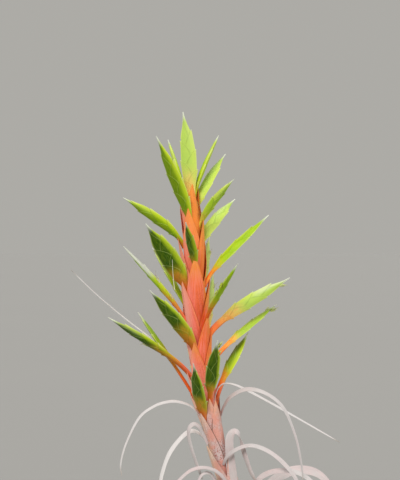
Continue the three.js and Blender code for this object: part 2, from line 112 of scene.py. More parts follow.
SPIKES = {
    "spike_terminal": Spike((-71.3, 0, 625), 522, 21, 0.04, 0, -0.5, 0.85, 0.05, 6.5),
    "spike_top_left": Spike((-103.8, -28, 592.5), 500, 20, 0.06, -23, 0.65, 0.3, 0.0, 4.6, -96),
    "spike_top_left_back": Spike((-91.3, 42, 593.8), 527, 13, 0.1, 48, 0.15, 0.2, 0.1),
    "spike_top_right": Spike((-26.3, 22, 597.5), 531, 14, 0.1, -17, 0.2, 0.5, 0.1),
    "spike_top_right_back": Spike((-17.5, 36, 575), 512, 16, 0.1, 23, -0.4, 0.6, 0.15),
    "spike_top_back": Spike((-65, 46, 567), 490, 15, 0.12, 0, 0.1, 0.2, 0.2),
    "spike_high_right": Spike((-7.5, -12, 541), 491, 16, 0.12, -28, -0.1, 0.7, 0.1),
    "spike_high_right_back": Spike((-5, 44, 517.5), 466, 17, 0.12, 26, -0.5, 0.3, 0.2),
    "spike_high_left": Spike((-145.6, -6, 517.5), 469, 16, 0.14, 46, 0.35, 0.2, 0.05),
    "spike_high_front": Spike((-67.5, -52, 486.3), 440, 15, 0.1, -30, 1.0, 0.5, 0.0, 3.4, -85),
    "spike_high_back": Spike((-37.5, 56, 470), 398, 16, 0.14, 0, -1.0, 0.1, 0.5),
    "spike_mid_left_front": Spike((-116.3, -38, 485), 413, 26, 0.1, 50, 1.15, 0.42, 0.0, 4.6),
    "spike_mid_left_back": Spike((-111.3, 40, 455), 382, 15, 0.14, 5, 0.2, 0.1, 0.1),
    "spike_mid_left": Spike((-146.3, 6, 457.5), 371, 14, 0.16, 30, 0.0, 0.35, 0.95),
    "spike_mid_right": Spike((36.3, 8, 496.3), 420, 17, 0.16, 30, 0.0, 0.3, 0.05),
    "spike_mid_right_front": Spike((-4.1, -52, 436.3), 368, 14, 0.2, 5, 0.12, 0.3, 0.1),
    "spike_mid_back": Spike((-75, 66, 437), 356, 16, 0.16, 0, -0.2, 0.2, 0.3),
    "spike_low_right": Spike((61.3, -12, 418.1), 354, 17.5, 0.24, 66, -0.45, 0.3, 0.4, 4.2),
    "spike_low_right_back": Spike((-32.5, 62, 425), 325, 16, 0.2, 0, -1.0, 0.5, 0.7),
    "spike_low_left_front": Spike(
        (-111.3, -48, 404.4), 334, 20, 0.12, -1, 1.5, 0.4, 0.0, 4.6, -105),
    "spike_under_right": Spike((46.9, 14, 383.8), 316, 14, 0.3, 22, -0.2, 0.24, 0.3, 4),
    "spike_under_left": Spike((-164.4, -8, 368.8), 302, 15, 0.3, 33, 1.2, 0.28, 0.1, 4),
    "spike_under_back": Spike((-65, 64, 352), 278, 16, 0.2, 0, 0.2, 0.25, 0.2),
    "spike_under_front": Spike((-28.8, -52, 343.8), 265, 19, 0.26, 0, 1.6, 0.2, 0.0),
    "spike_lowest_left": Spike((-129.4, 30, 373.1), 270, 14, 0.42, 0, 0.4, 0.3, 0.05),
    "spike_lowest_front": Spike((-58, -54, 316), 247, 19, 0.14, 8, 2.3, 0.4, 0.0, 3.4, -122),
    "spike_lowest_right": Spike((11.3, 22, 347.5), 272, 16.5, 0.34, 26, 0.6, 0.2, 0.15, 4.4),
}
# The spike on the stem's top runs from its foot, bending round a point, to its tip.
TERMINAL_FOOT, TERMINAL_BEND = (-62, 0, 522.4), (-64, 0, 588)

# Bracts without a spike of their own, round the stem's foot and under the last spike: height
# of the foot, bearing in degrees, length, clasped half angle.
SHEATHS = (
    (62, 200, 84, BRACT_WRAP), (84, 340, 86, BRACT_WRAP), (108, 100, 84, BRACT_WRAP),
    (118, 222, 92, 2.4), (122, 326, 84, BRACT_WRAP), (180, 308, 86, BRACT_WRAP),
    (183, 200, 90, 2.4), (462, 292, 72, BRACT_WRAP), (470, 70, 68, BRACT_WRAP),
    (480, 178, 58, BRACT_WRAP),
)

# ---------------------------------------------------------------- straps of the stem
# name: width at foot, middle and tip, roll in degrees at its foot and further out, middle line,
# blush (below 0, how much whiter it is), and the shares of its length between which it changes
# its roll, if not STRAP_TURN.

STRAP_THICKNESS = 1.1
STRAP_TURN = 0, 0.35
STRAP_GUTTER, STRAP_WAVE = 0.22, 0.04  # of its margins, in half widths
STRAP_ROWS, STRAP_COLUMNS = 110, 9
STRAPS = {
    "strap_left_high": ((5, 5, 2.2), (0, -42), (
        (-44, -6, 234), (-52, -8, 249), (-61, -10, 258.5), (-74, -12, 264), (-88, -14, 265),
        (-106, -17, 260), (-125, -21, 246), (-141, -25, 215), (-147.5, -27, 190),
        (-146, -28, 176)), -0.25),
    "strap_right_high": ((4.5, 4.5, 1.6), (0, 38), (
        (-33, -5, 262), (-30, -6, 274), (-26, -5.5, 282), (-18, -4, 286), (0, 2, 281),
        (40, 12, 259), (86, 21, 232), (127.5, 28, 207.5)), -0.25),
    "strap_right_arch": ((7, 5.5, 2.2), (15, 48), (
        (-27, 9, 234), (-24, 8, 245), (-19.5, 4, 257), (-11, -5, 270), (8, -14, 280),
        (31, -24, 276), (52, -28, 259), (66, -32, 227), (73, -35, 196), (76, -37, 166)), 0.1),
    "strap_left_fold": ((6, 6, 4), (-35, -50), (
        (-40, -9, 212), (-46.5, -13, 226), (-52, -17, 235), (-58.5, -20, 238),
        (-63.5, -22, 233), (-64, -22, 222), (-60, -22, 206), (-54, -21, 188),
        (-47, -20, 170)), 0.2),
    "strap_left_arch": ((5, 8, 5), (0, -48), (
        (-37, 5, 202), (-43, 7, 214), (-51, 6, 223), (-62, 2, 226), (-75, -3, 217),
        (-89, -7, 198), (-98, -10, 172), (-99, -12, 156)), -0.4),
    "strap_front_low": ((4.5, 5.5, 4), (-90, -48), (
        (-12, -10, 142), (-15, -13.5, 156), (-20, -18, 170), (-31, -23, 181), (-46, -28, 186),
        (-62, -33, 183), (-77, -38, 171), (-88, -41, 158)), 0.5),
    "strap_right_fold": ((13, 12, 4.5), (80, -50), (
        (-4, -8, 130), (-8, -10, 160), (-12, -11, 190), (-13.5, -11, 214), (-11, -11, 224),
        (-5.5, -12, 227), (-1, -13, 221), (4, -14, 203), (12, -15, 180), (20, -16, 164)),
        0.5, (0.48, 0.78)),
    "strap_right_low": ((3.4, 7, 6), (80, 48), (
        (-21, -10, 186), (-18.5, -14.5, 193.5), (-15, -17, 199), (-7, -20, 205.5),
        (4, -22, 210.5), (15, -25, 212), (27, -28, 209), (40, -31, 202), (53, -34, 191),
        (64, -37, 178), (71, -39, 164)), 0.2),
    "strap_front_curl": ((6, 5, 3), (-75, -45), (
        (-21, -9, 148), (-28, -14.5, 162), (-37, -21, 176.5), (-46, -26, 178), (-52, -29, 170),
        (-54, -31, 158)), 0.5),
    "strap_thread": ((2.6, 2.2, 1.2), (0, -50), (
        (-57, 6, 291), (-68, 16, 300), (-85, 30, 315), (-112, 41, 338), (-147, 40, 365),
        (-182, 26, 396), (-212.5, 10, 427.5)), -0.6),
    "strap_heart_near": ((8, 10, 5), (0, 40), (
        (11, -9, 62), (12, -10, 100), (14, -12, 138), (21, -15, 165), (34, -18, 176.5),
        (53, -23, 181), (72, -26, 178), (88, -28, 167), (97, -29, 150), (98, -29, 134)), 0.5),
    "strap_heart_far": ((12, 22, 6), (0, 42), (
        (12.5, 2, 64), (13, 2, 100), (23, 5, 136), (43, 9, 161), (66, 12, 173.5),
        (91, 13, 173), (109, 13, 161), (116, 12, 143), (111, 11, 126)), 0.45),
}

# ---------------------------------------------------------------- rosette

LEAF_COUNT = 18
LEAF_TURN = math.radians(137.508)  # from each leaf to the next
LEAF_FIRST = math.radians(-14)  # bearing of the outermost leaf
# Of the outermost and the innermost leaf: width at the foot, how far out it reaches, the height
# of its peak and how far out the peak lies.
LEAF_WIDTHS, LEAF_REACHES, LEAF_PEAKS, LEAF_PEAKS_OUT = (68, 34), (232, 128), (58, 146), (128, 74)
LEAF_THICKNESS, LEAF_EDGE = 2, 0.9
LEAF_GUTTER = 0.34  # rise of the margins, in half widths
LEAF_FEET = 8  # the lowest leaves, whose bent backs touch the ground
LEAF_FLAT = 0.5  # how deep the ground cuts into them
LEAF_ROWS, LEAF_COLUMNS = 90, 17

HEART_RADIUS, LEAF_SPACING = 15, 1.6  # of the innermost leaf's foot, and from foot to foot
CAUDEX_RADIUS = HEART_RADIUS + LEAF_SPACING * LEAF_COUNT
CAUDEX_BASE, CAUDEX_RIM, CAUDEX_TOP = 30, 8, 42.65  # radius below, height of the rim and the top

CAUDEX_ROWS, CAUDEX_SIDES = 60, 96
SHELF_HEIGHT, SHELF_DEPTH = 5, 1.6  # of the steps that shed leaves left in the bark

OLD_LEAF_COUNT, OLD_LEAF_LENGTH = 17, 34
OLD_LEAF_LIFT = 0.25  # of its faces off its middle
OLD_LEAF_ROWS, OLD_LEAF_COLUMNS = 14, 9
ROOT_COUNT, ROOT_LENGTH = 9, 34
ROOT_RADII = 0.85, 0.35  # where it starts and at its tip
ROOT_ROWS, ROOT_SIDES = 30, 8

# ---------------------------------------------------------------- colours

ORANGE_RED, ORANGE, AMBER, GOLDEN = "#ee6024", "#f29a30", "#d6b82c", "#ff9626"
LIME, DEEP_GREEN, PALE_GREEN, SPRING = "#94c000", "#234e00", "#cce486", "#cce02c"
OLIVE_BROWN, BUTTER, PALE_MARGIN, SILVER_TIP = "#6e5208", "#fae08a", "#dfe884", "#dcdfd2"
CORAL, SALMON, ROSE_HIGHLIGHT, BRACT_MARGIN, CREASE_AND_SHADE = "#ff7848", "#ff8678", "#ffb6a4", "#ffcfc0", "#d04c1c"
SHEATH_PINK, SHEATH_SILVER, SHEATH_CREAM = "#db9d8e", "#cfbbb8", "#f4d2b0"
SPECKLE_AND_SHADE, SHEATH_EDGE_AND_SHADOW = "#a8483a", "#4c2a1c"
STRAP_SILVER, STRAP_WHITE, STRAP_BLUSH = "#beb9b8", "#f6f3f1", "#cfa3a4"
STRAP_SHADE, STRAP_BLOOM = "#857e7b", "#d4d0ce"
LEAF_SILVER, LEAF_GREEN, LEAF_BLUSH, DRY_TIP = "#bcc3b6", "#8c9a86", "#b99a94", "#a5927a"
BARK, BARK_DARK, STRAW = "#7d6248", "#43301f", "#b59a70"
WITHERED, WITHERED_DARK = "#d4cdb2", "#a48a78"
FLOOR_PAPER = "#969592"

# ---------------------------------------------------------------- numbers and lines


def lerp(a, b, t):
    return a + (b - a) * t


def smooth(x, low, high):
    """0 below low, 1 above high, and an even S between."""
    t = np.clip((x - low) / (high - low), 0, 1)
    return t * t * (3 - 2 * t)


def unit(vectors):
    return vectors / np.linalg.norm(vectors, axis=-1, keepdims=True)


def jitter(index, purpose):
    """A repeatable number from -1 to 1 for a piece's index and a purpose."""
    wave = np.sin(np.asarray(index) * 12.9898 + purpose * 78.233) * 43758.5453
    return 2 * (wave - np.floor(wave)) - 1


def drawn_out(points):
    """A list of points or values with one more at each end, straight on."""
    return np.concatenate([[2 * points[0] - points[1]], points, [2 * points[-1] - points[-2]]])


def catmull_rom(before, here, there, after, t):
    """The place at a share t of the way from here to there, on a smooth curve through all."""
    leave, arrive, rise = (there - before) / 2, (after - here) / 2, there - here
    bend = 3 * rise - 2 * leave - arrive + t * (leave + arrive - 2 * rise)
    return here + t * (leave + t * bend)


def stem_value(values, z):
    """A smooth value at heights of the stem, from its list."""
    place = (np.asarray(z, float) - STEM_START) / STEM_STEP
    i = np.clip(np.floor(place).astype(int), 0, len(values) - 2)
    padded = drawn_out(values)
    return catmull_rom(*(padded[i + k] for k in range(4)), place - i)


def around_stem(z, bearing, radius):
    """Points at heights, bearings and distances from the stem's middle line."""
    z, bearing, radius = np.broadcast_arrays(z, bearing, radius)
    x = stem_value(STEM_X, z) + radius * np.cos(bearing)
    return np.stack([x, radius * np.sin(bearing), z], -1)


def through(points, steps=24):
    """A dense smooth line through points."""
    padded = drawn_out(np.asarray(points, float))
    t = np.linspace(0, 1, steps, endpoint=False)[None, :, None]
    spans = catmull_rom(*(padded[k:len(padded) - 3 + k, None] for k in range(4)), t)
    return np.concatenate([spans.reshape(-1, 3), padded[-2:-1]])


def bezier(a, b, c, d, steps=200):
    """A dense cubic Bezier line."""
    t = np.linspace(0, 1, steps)[:, None]
    return (1 - t) ** 3 * a + 3 * t * (1 - t) ** 2 * b + 3 * t * t * (1 - t) * c + t**3 * d


def distances(line):
    """How far along a line each of its points lies."""
    return np.concatenate([[0], np.cumsum(np.linalg.norm(np.diff(line, axis=0), axis=1))])


def along_line(line, shares):
    """Points and unit directions at shares of a line's length."""
    reach = distances(line)
    place = np.clip(shares, 0, 1) * reach[-1]
    slope = np.gradient(line, reach, axis=0)
    points = np.stack([np.interp(place, reach, line[:, k]) for k in range(3)], -1)
    heading = np.stack([np.interp(place, reach, slope[:, k]) for k in range(3)], -1)
    return points, unit(heading)


def full_turn(count):
    """Even angles round a circle."""
    return 2 * np.pi * np.arange(count) / count


def swung(out, sideways, bearing):
    """x and y of points that lie so far out along a bearing, and so far to its left."""
    x = out * np.cos(bearing) - sideways * np.sin(bearing)
    return x, out * np.sin(bearing) + sideways * np.cos(bearing)


# ---------------------------------------------------------------- meshes


def shell(outer, inner):
    """Rings of a thin closed blade: across its outer face, then back across its inner one."""
    return np.concatenate([outer, inner[..., ::-1, :]], axis=-2)


def channels(shape, *values):
    """Four numbers for each point of a block of rings, broadcast from single values. Those that
    aren't given are 0."""
    four = values + (0,) * (4 - len(values))
    return np.stack([np.broadcast_to(value, shape) for value in four], -1)


def both_faces(shape, *values):
    """Values on a blade's grid of points, repeated for the outer and the inner face."""
    spread = (np.broadcast_to(value, shape) for value in values)
    return [np.concatenate([value, value[..., ::-1]], axis=-1) for value in spread]


def ring_quads(rows, around):
    """Quads between neighbouring rings, and a strip across each end that closes it."""
    i = np.arange(rows - 1)[:, None] * around
    j = np.arange(around)[None, :]
    k = (j + 1) % around
    corners = np.broadcast_arrays(i + j, i + k, i + around + k, i + around + j)
    wall = np.stack(corners, -1).reshape(-1, 4)
    a = np.arange(around // 2 - 1)
    cap = np.stack([a, a + 1, around - 2 - a, around - 1 - a], -1)
    return np.concatenate([wall, cap[:, ::-1], cap + (rows - 1) * around])


def add_object(name, data):
    """An object for a mesh, lamp or camera, in the scene."""
    thing = bpy.data.objects.new(name, data)
    bpy.context.scene.collection.objects.link(thing)
    return thing


def make_piece(name, parts, material, slot, *nodes):
    """One mesh of closed lofts. A part is its points, as blocks of rows of rings, and the sets
    of four numbers for each point that its material reads: tone and, in some pieces, tint."""
    points, quads, sets = [], [], {}
    start = 0
    for block, *numbers in parts:
        rows, around = block.shape[-3:-1]
        solids = block.reshape(-1, rows * around, 3)
        offsets = start + np.arange(len(solids)) * rows * around
        quads.append((ring_quads(rows, around)[None] + offsets[:, None, None]).reshape(-1, 4))
        points.append(solids.reshape(-1, 3))
        for label, values in zip(("tone", "tint"), numbers):
            sets.setdefault(label, []).append(values.reshape(-1, 4))
        start += len(points[-1])
    mesh = bpy.data.meshes.new(name)
    mesh.from_pydata((np.concatenate(points) * MM).tolist(), [], np.concatenate(quads).tolist())
    for label, values in sets.items():
        layer = mesh.color_attributes.new(label, "FLOAT_COLOR", "POINT")
        layer.data.foreach_set("color", np.concatenate(values).astype(np.float32).ravel())
    mesh.polygons.foreach_set("use_smooth", np.ones(len(mesh.polygons), bool))
    mesh.set_sharp_from_angle(angle=math.radians(50))
    mesh.materials.append(material)
    piece = add_object(name, mesh)
    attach(piece, "root")
    if nodes:
        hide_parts(*nodes)


def tube(line, radii, rows, around, level=(0, 0, 1)):
    """Rings round a line, their first point towards its right, seen from the level direction.
    radii is a function of the share of its length."""
    share = np.linspace(0, 1, rows)
    centre, along = along_line(line, share)
    side = unit(np.cross(along, np.asarray(level, float)))
    up = np.cross(side, along)
    turn = full_turn(around)[None, :, None]
    radius = radii(share)[:, None, None]
    across = np.cos(turn) * side[:, None]
    rise = -np.sin(turn) * up[:, None]
    return centre[:, None] + radius * (across + rise)


# ---------------------------------------------------------------- spikes


def spike_bearing(spike):
    """The bearing at which a spike leaves the stem."""
    if spike.bearing is not None:
        return math.radians(spike.bearing)
    return math.atan2(spike.tip[1], spike.tip[0] - float(stem_value(STEM_X, spike.root)))


def spike_path(name):
    """The middle line of a spike and the level direction that its face looks in."""
    spike = SPIKES[name]
    tip = np.array(spike.tip, float)
    if name == "spike_terminal":
        foot, bend = np.array(TERMINAL_FOOT, float), np.array(TERMINAL_BEND, float)
        return bezier(foot, lerp(foot, bend, 2 / 3), lerp(tip, bend, 2 / 3), tip), (0, -1, 0)
    bearing = spike_bearing(spike)
    clad = float(stem_value(STEM_CLAD, spike.root))
    lap = around_stem(spike.root + SPIKE_LAP[0], bearing, CORE_SHARE * clad + SPIKE_LAP[1])
    neck = around_stem(spike.root + SPIKE_NECK[0], bearing, clad + SPIKE_NECK[1])
    facing = bearing + math.radians(spike.roll)
    line = bezier(lap, neck, lerp(neck, tip, 0.5), tip)
    return line, (math.cos(facing), math.sin(facing), 0)


def spike_frame(line, shares, facing):
    """Middle points, and the directions across and out of the spike's face."""
    centre, along = along_line(line, shares)
    side = unit(np.cross(np.asarray(facing, float), along))
    return centre, side, np.cross(along, side)


def spike_outline(u):
    """How wide a spike's blade is at shares u of its length: 0 at both ends and 1 at its widest,
    below the middle."""
    return np.sin(np.pi * np.clip(u, 0, 1) ** 0.72) ** 0.8


def spike_size(spike, u):
    """Half of the width and of the depth of a spike at shares u of its blade: the cube root of
    the summed cubes of its flat stalk, which narrows to the tip, and of its leaf-like blade."""
    outline = spike_outline(u)
    bare = 1 - np.clip(u, 0, 1)
    blade = (spike.width / 2 - SPIKE_TOOTH) * outline
    half = np.cbrt((spike.foot * bare) ** 3 + blade**3)
    deep = np.cbrt((SPIKE_STALK * bare) ** 3 + (SPIKE_THICKNESS / 2 * outline**0.7) ** 3)
    return np.maximum(half, SPIKE_TIP), np.maximum(deep, SPIKE_TIP)


def spike_ripeness(at, spike):
    """0 where the spike is orange-red, 1 from where it is green. The higher a spike sits, the
    more yellow its foot is."""
    rise = (at - 0.6 * spike.stalk) / (0.4 * spike.stalk + spike.warm)
    return np.clip(rise + 0.55 * smooth(spike.root, *YELLOWING), 0, 1)


def towards_light(side, share_across):
    """The place across a spike: 1 at the edge that looks up or to the right, -1 at the other. The
    spike material paints light towards 1 and shade towards -1.
    """
    return share_across * np.sign(side[..., 2] + 0.6 * side[..., 0])


def floral_bracts(name):
    """The folded bracts of a spike, on alternate sides. Along a bract runs s, from its foot on
    the axis to its tip on the spike's edge. Across it runs t, from one margin round the keel
    (0) to the other. Its keel follows the edge of the spike and stands out more towards the
    tip. Its sides reach over the middle line and narrow to the tip, by one less s to the
    power 3, but the last bract's reach the other edge all the way. Their height over the
    middle plane rises from the keel to the middle line, falls again beyond it, and grows with
    s, so that each bract lies on the next one up."""
    spike = SPIKES[name]
    line, facing = spike_path(name)
    count = round(distances(line)[-1] * (1 - spike.stalk) / SPIKE_PITCH)
    k = np.arange(1, count + 2)[:, None, None]
    tip_u = np.minimum((k + 0.15) / (count + 1), 1)
    foot_u = np.maximum(tip_u - FLORAL_REACH / (count + 1), -0.03)
    hand = np.where(k % 2, 1.0, -1.0)
    s = np.linspace(0, 1, FLORAL_ROWS)[None, :, None]
    t = np.linspace(-1, 1, FLORAL_COLUMNS)[None, None, :]
    u = lerp(foot_u, tip_u, s)
    at = lerp(spike.stalk, 1, u)
    centre, side, face = spike_frame(line, at, facing)
    half, deep = spike_size(spike, u)
    half = half * (1 - FLORAL_TAPER * smooth(u, 0.68, 0.97))
    last = k > count
    tooth = FLORAL_TOOTH * (0.12 + 0.88 * s**5) * smooth(u, -0.03, 0.15)
    tooth = tooth * (1 - 0.7 * smooth(u, 0.65, 1)) * (1 + 0.3 * jitter(k, 4))
    wrap = np.where(last, 2, FLORAL_WRAP * (1 - s**3) + 0.01)
    layer = FLORAL_LAYER * (s - 0.6) * smooth(u, 0, 0.2) * np.minimum(1, half / 3)

    def face_points(inset):
        keel = half + tooth - 1.5 * inset
        margin = keel - (half + 0.3) * wrap
        across = lerp(keel, margin, np.abs(t) ** 0.9)
        rise = 1 - np.abs(across) / (half + tooth)
        height = deep * np.sin(np.pi / 2 * np.clip(rise, 0, 1)) ** 0.75
        height = height + layer * np.minimum(1, 4 * rise)
        offset = hand * across
        lift = hand * np.sign(t) * (np.maximum(height, FLORAL_SKIN + FLORAL_GAP) - inset)
        return centre + offset[..., None] * side + lift[..., None] * face, offset

    outer, offset = face_points(0)
    inner, _ = face_points(FLORAL_SKIN)
    block = shell(outer, inner)
    part = offset / (half + 0.5)
    upper = part * np.sign(side[..., 2])
    silver = spike.frost * smooth(upper, -0.3, 0.5) * smooth(u, 0.45, 0.62)
    ripe, lit = spike_ripeness(at, spike), towards_light(side, part)
    grid, shape = offset.shape, block.shape[:-1]
    tone = channels(shape, *both_faces(grid, at, np.abs(t), jitter(k, 5), silver))
    tint = channels(shape, *both_faces(grid, spike.shade, ripe, s, lit))
    return block, tone, tint


def spike_axis(name):
    """The spike's stalk and axis: a flattened tube that thins to its end under the tip."""
    spike = SPIKES[name]
    line, facing = spike_path(name)
    share = np.linspace(0, lerp(spike.stalk, 1, AXIS_END), AXIS_ROWS)[:, None]
    centre, side, face = spike_frame(line, share, facing)
    turn = full_turn(AXIS_SIDES)[None, :]
    half, deep = spike_size(spike, (share - spike.stalk) / (1 - spike.stalk))
    sunk = 1 - 0.65 * smooth(share, spike.stalk, spike.stalk + 0.15)
    across, rise = half * sunk * np.cos(turn), deep * sunk * np.sin(turn)
    block = centre + across[..., None] * side + rise[..., None] * face
    tone = channels(block.shape[:-1], share, 0, 0.3)
    lit = towards_light(side, 0.8 * np.cos(turn))
    tint = channels(block.shape[:-1], spike.shade, spike_ripeness(share, spike), 0.5, lit)
    return block, tone, tint


def make_spikes(material):
    for name in SPIKES:
        parts = [floral_bracts(name), spike_axis(name)]
        make_piece(name + "_bracts", parts, material, "spike_green", name)


# ---------------------------------------------------------------- stem


def stem_bracts():
    """The clasping bracts. Along a bract runs s, from foot to tip, and across it t. Its radius
    rises from the bare stem to the clad one and on outwards at the tip, always more than that
    of the bract it covers. Its half angle narrows evenly to nothing, and a low keel runs up
    its middle. The margins are thin, lifted and a little wavy."""
    laterals = list(SPIKES.values())[1:]
    roots = [(spike.root - BRACT_LENGTH + 4, spike_bearing(spike)) for spike in laterals]
    clasping = [(*root, BRACT_LENGTH, BRACT_WRAP) for root in roots]
    sheaths = [(foot, math.radians(bearing), *rest) for foot, bearing, *rest in SHEATHS]
    columns = zip(*(clasping + sheaths))
    foot, bearing, length, clasp = (np.array(column)[:, None, None] for column in columns)
    number = np.arange(len(foot))[:, None, None]
    s = np.linspace(0, 1, BRACT_ROWS)[None, :, None]
    t = np.linspace(-1, 1, BRACT_COLUMNS)[None, None, :]
    z = foot + length * s
    clad = stem_value(STEM_CLAD, z)
    swell = 0.15 + 0.85 * np.sin(np.pi / 2 * np.minimum(1, 1.6 * s))
    radius = lerp(CORE_SHARE * clad, clad - BRACT_RELIEF * (1 - s), swell) + BRACT_FLARE * s**3
    wrap = clasp * (1 - s) + 0.35 / clad
    keel = BRACT_KEEL * np.exp(-((t * wrap * clad / 1.6) ** 2)) * smooth(s, 0.3, 0.7)
    wave = BRACT_WAVE * np.sin(13 * s + 6 * jitter(number, 1) + 2 * np.sign(t))
    wave = wave * t**4 * smooth(s, 0.1, 0.4)
    outer_radius = radius + keel + wave - BRACT_DROOP * t * t * (1 - s)
    skin = BRACT_SKIN * (1 - 0.6 * np.abs(t) ** 3)
    angle = bearing + t * wrap
    outer = around_stem(z, angle, outer_radius)
    inner = around_stem(z, angle, outer_radius - skin)
    block = shell(outer, inner)
    height = (z - STEM_FOOT) / (STEM_TOP - STEM_FOOT)
    grid, shape = outer.shape[:-1], block.shape[:-1]
    tone = channels(shape, *both_faces(grid, s, np.abs(t), jitter(number, 2), height))
    tint = channels(shape, *both_faces(grid, np.cos(angle), np.cos(bearing)))
    return block, tone, tint


def stem_core():
    """The bare stem inside the bracts."""
    z = np.linspace(STEM_FOOT, STEM_TOP, CORE_ROWS)[:, None]
    turn = full_turn(CORE_SIDES)[None, :]
    block = around_stem(z, turn, CORE_SHARE * stem_value(STEM_CLAD, z))
    height = (z - STEM_FOOT) / (STEM_TOP - STEM_FOOT)
    tone = channels(block.shape[:-1], 0.15, 0.2, 0, height)
    return block, tone, np.zeros_like(tone)


def make_stem(material):
    parts = [stem_bracts(), stem_core()]
    make_piece("stem_and_bracts", parts, material, "bract_skin", "flower_stem")


# ---------------------------------------------------------------- straps


def strap(name):
    """A channelled ribbon. Its half width runs as a quadratic through its three widths, its
    margins rise with the square of the distance across, and it thins to its edges and tip."""
    width, roll, path, blush, *own_turn = STRAPS[name]
    start, end = own_turn[0] if own_turn else STRAP_TURN
    u = np.linspace(0, 1, STRAP_ROWS)
    centre, along = along_line(through(path), u)
    turn = np.radians(lerp(roll[0], roll[1], smooth(u, start, end)))[:, None]
    level = unit(np.array([0, 1.0, 0]) - along * along[:, 1:2])
    upright = np.cross(along, level)
    flat = level * np.cos(turn) + upright * np.sin(turn)
    face = np.cross(along, flat)
    u, v = u[:, None], np.linspace(1, -1, STRAP_COLUMNS)[None, :]
    half = lerp(lerp(width[0], width[1], u), lerp(width[1], width[2], u), u) / 2
    half = half * (1 - 0.75 * smooth(u, 0.93, 1))
    thick = STRAP_THICKNESS / 2 * lerp(1, 0.6, u) * (1 - 0.7 * v**4)
    wave = STRAP_WAVE * np.sin(23 * u + 4 * len(name)) * v
    rise = half * (STRAP_GUTTER * smooth(u, 0.02, 0.2) * (v * v - 0.4) + wave)

    def face_points(sign):
        lift = (rise + sign * thick)[..., None]
        return centre[:, None] + (half * v)[..., None] * flat[:, None] + lift * face[:, None]

    block = shell(face_points(1), face_points(-1))
    places = both_faces((STRAP_ROWS, STRAP_COLUMNS), u, v)
    return block, channels(block.shape[:-1], *places, 0.5 * jitter(path[0][0], 7), blush)


def make_straps(material):
    for name in STRAPS:
        make_piece(name + "_ribbon", [strap(name)], material, "strap_silver", name)


# ---------------------------------------------------------------- rosette leaves


def leaf_line(index, drop):
    """The middle line of a leaf as distance from the middle and height: up from the caudex,
    over its peak, out and down, and curled back under at the tip."""
    share = index / (LEAF_COUNT - 1)
    foot = CAUDEX_RADIUS - LEAF_SPACING * (index + 0.5)
    inward = (CAUDEX_RADIUS - foot) / (CAUDEX_RADIUS - HEART_RADIUS)
    seat = lerp(CAUDEX_RIM + 1, CAUDEX_TOP - 2, inward)
    reach = lerp(*LEAF_REACHES, share) + 8 * jitter(index, 1)
    peak = lerp(*LEAF_PEAKS, share) + 4 * jitter(index, 2)
    peak_at = lerp(*LEAF_PEAKS_OUT, share)
    low = (2 if index < LEAF_FEET else lerp(-60, 92, share) + 5 * jitter(index, 3)) - drop
    points = (
        (foot - 2, seat - 5),
        (foot + lerp(26, 2, share), seat + lerp(22, 44, share)),
        (peak_at - lerp(34, 22, share), peak - lerp(7, 14, share)),
        (peak_at, peak),
        (lerp(peak_at, reach, 0.7), lerp(low, peak, 0.78)),
        (reach, lerp(low, peak, 0.4)),
        (reach - 14, low + 3),
        (reach - 34, low + lerp(1, 8, share)),
        (reach - 44, low + 20),
    )
    return through([(r, 0, z) for r, z in points])


def leaf_points(index, drop):
    """Both faces of a leaf. Its half width narrows to the tip by one less u to the power 0.85,
    it is bent round the rosette at its foot, and its margins rise to a gutter and roll in
    towards the tip. The tip sweeps sideways with the square of u."""
    share = index / (LEAF_COUNT - 1)
    bearing = LEAF_FIRST + index * LEAF_TURN
    sweep = 0.3 * jitter(index, 4)
    width = lerp(*LEAF_WIDTHS, share)
    u = 1 - (1 - np.linspace(0, 1, LEAF_ROWS)) ** 1.2
    centre, along = along_line(leaf_line(index, drop), u)
    u, v = u[:, None], np.linspace(1, -1, LEAF_COLUMNS)[None, :]
    radius, height = centre[:, 0:1], centre[:, 2:3]
    out, up = along[:, 0:1], along[:, 2:3]
    half = LEAF_EDGE / 2 + width / 2 * (1 - u) ** 0.85
    wrap = half / radius
    gutter = LEAF_GUTTER * smooth(u, 0.05, 0.4)
    turn = bearing + sweep * u * u
    wave = 0.035 * np.sin(17 * u + 5 * jitter(index, 5) + 1.5 * np.sign(v))
    wave = wave * v**4 * smooth(u, 0.1, 0.3)
    roll = 0.25 * smooth(u, 0.3, 0.9) * v**6
    faces = []
    for sign in (1, -1):
        thick = lerp(LEAF_THICKNESS, 0.5, np.maximum(v * v, u)) / 2
        rise = half * (gutter * v * v + wave + roll) + sign * thick
        inward = 1 - 0.12 * smooth(u, 0.3, 0.9) * v**4
        distance = radius * np.cos(v * wrap) - up * rise
        sideways = radius * np.sin(v * wrap) * inward
        faces.append(np.stack([*swung(distance, sideways, turn), height + out * rise], -1))
    return faces, u, v


def leaf(index):
    """A leaf let down, if it is one of the lowest, until its bent back meets the ground, and
    flat where it lies on it."""
    (outer, inner), u, v = leaf_points(index, 0)
    if index < LEAF_FEET:
        low = min(outer[..., 2].min(), inner[..., 2].min())
        (outer, inner), u, v = leaf_points(index, low + LEAF_FLAT)
    block = shell(outer, inner)
    block[..., 2] = np.maximum(block[..., 2], 0)
    places = both_faces((LEAF_ROWS, LEAF_COLUMNS), u, v)
    return block, channels(block.shape[:-1], *places, jitter(index, 6))


def make_leaves(material):
    for index in range(LEAF_COUNT):
        name = f"leaf_{index + 1:02d}"
        make_piece(name + "_blade", [leaf(index)], material, "leaf_silver", name)


# ---------------------------------------------------------------- caudex, old leaves and roots


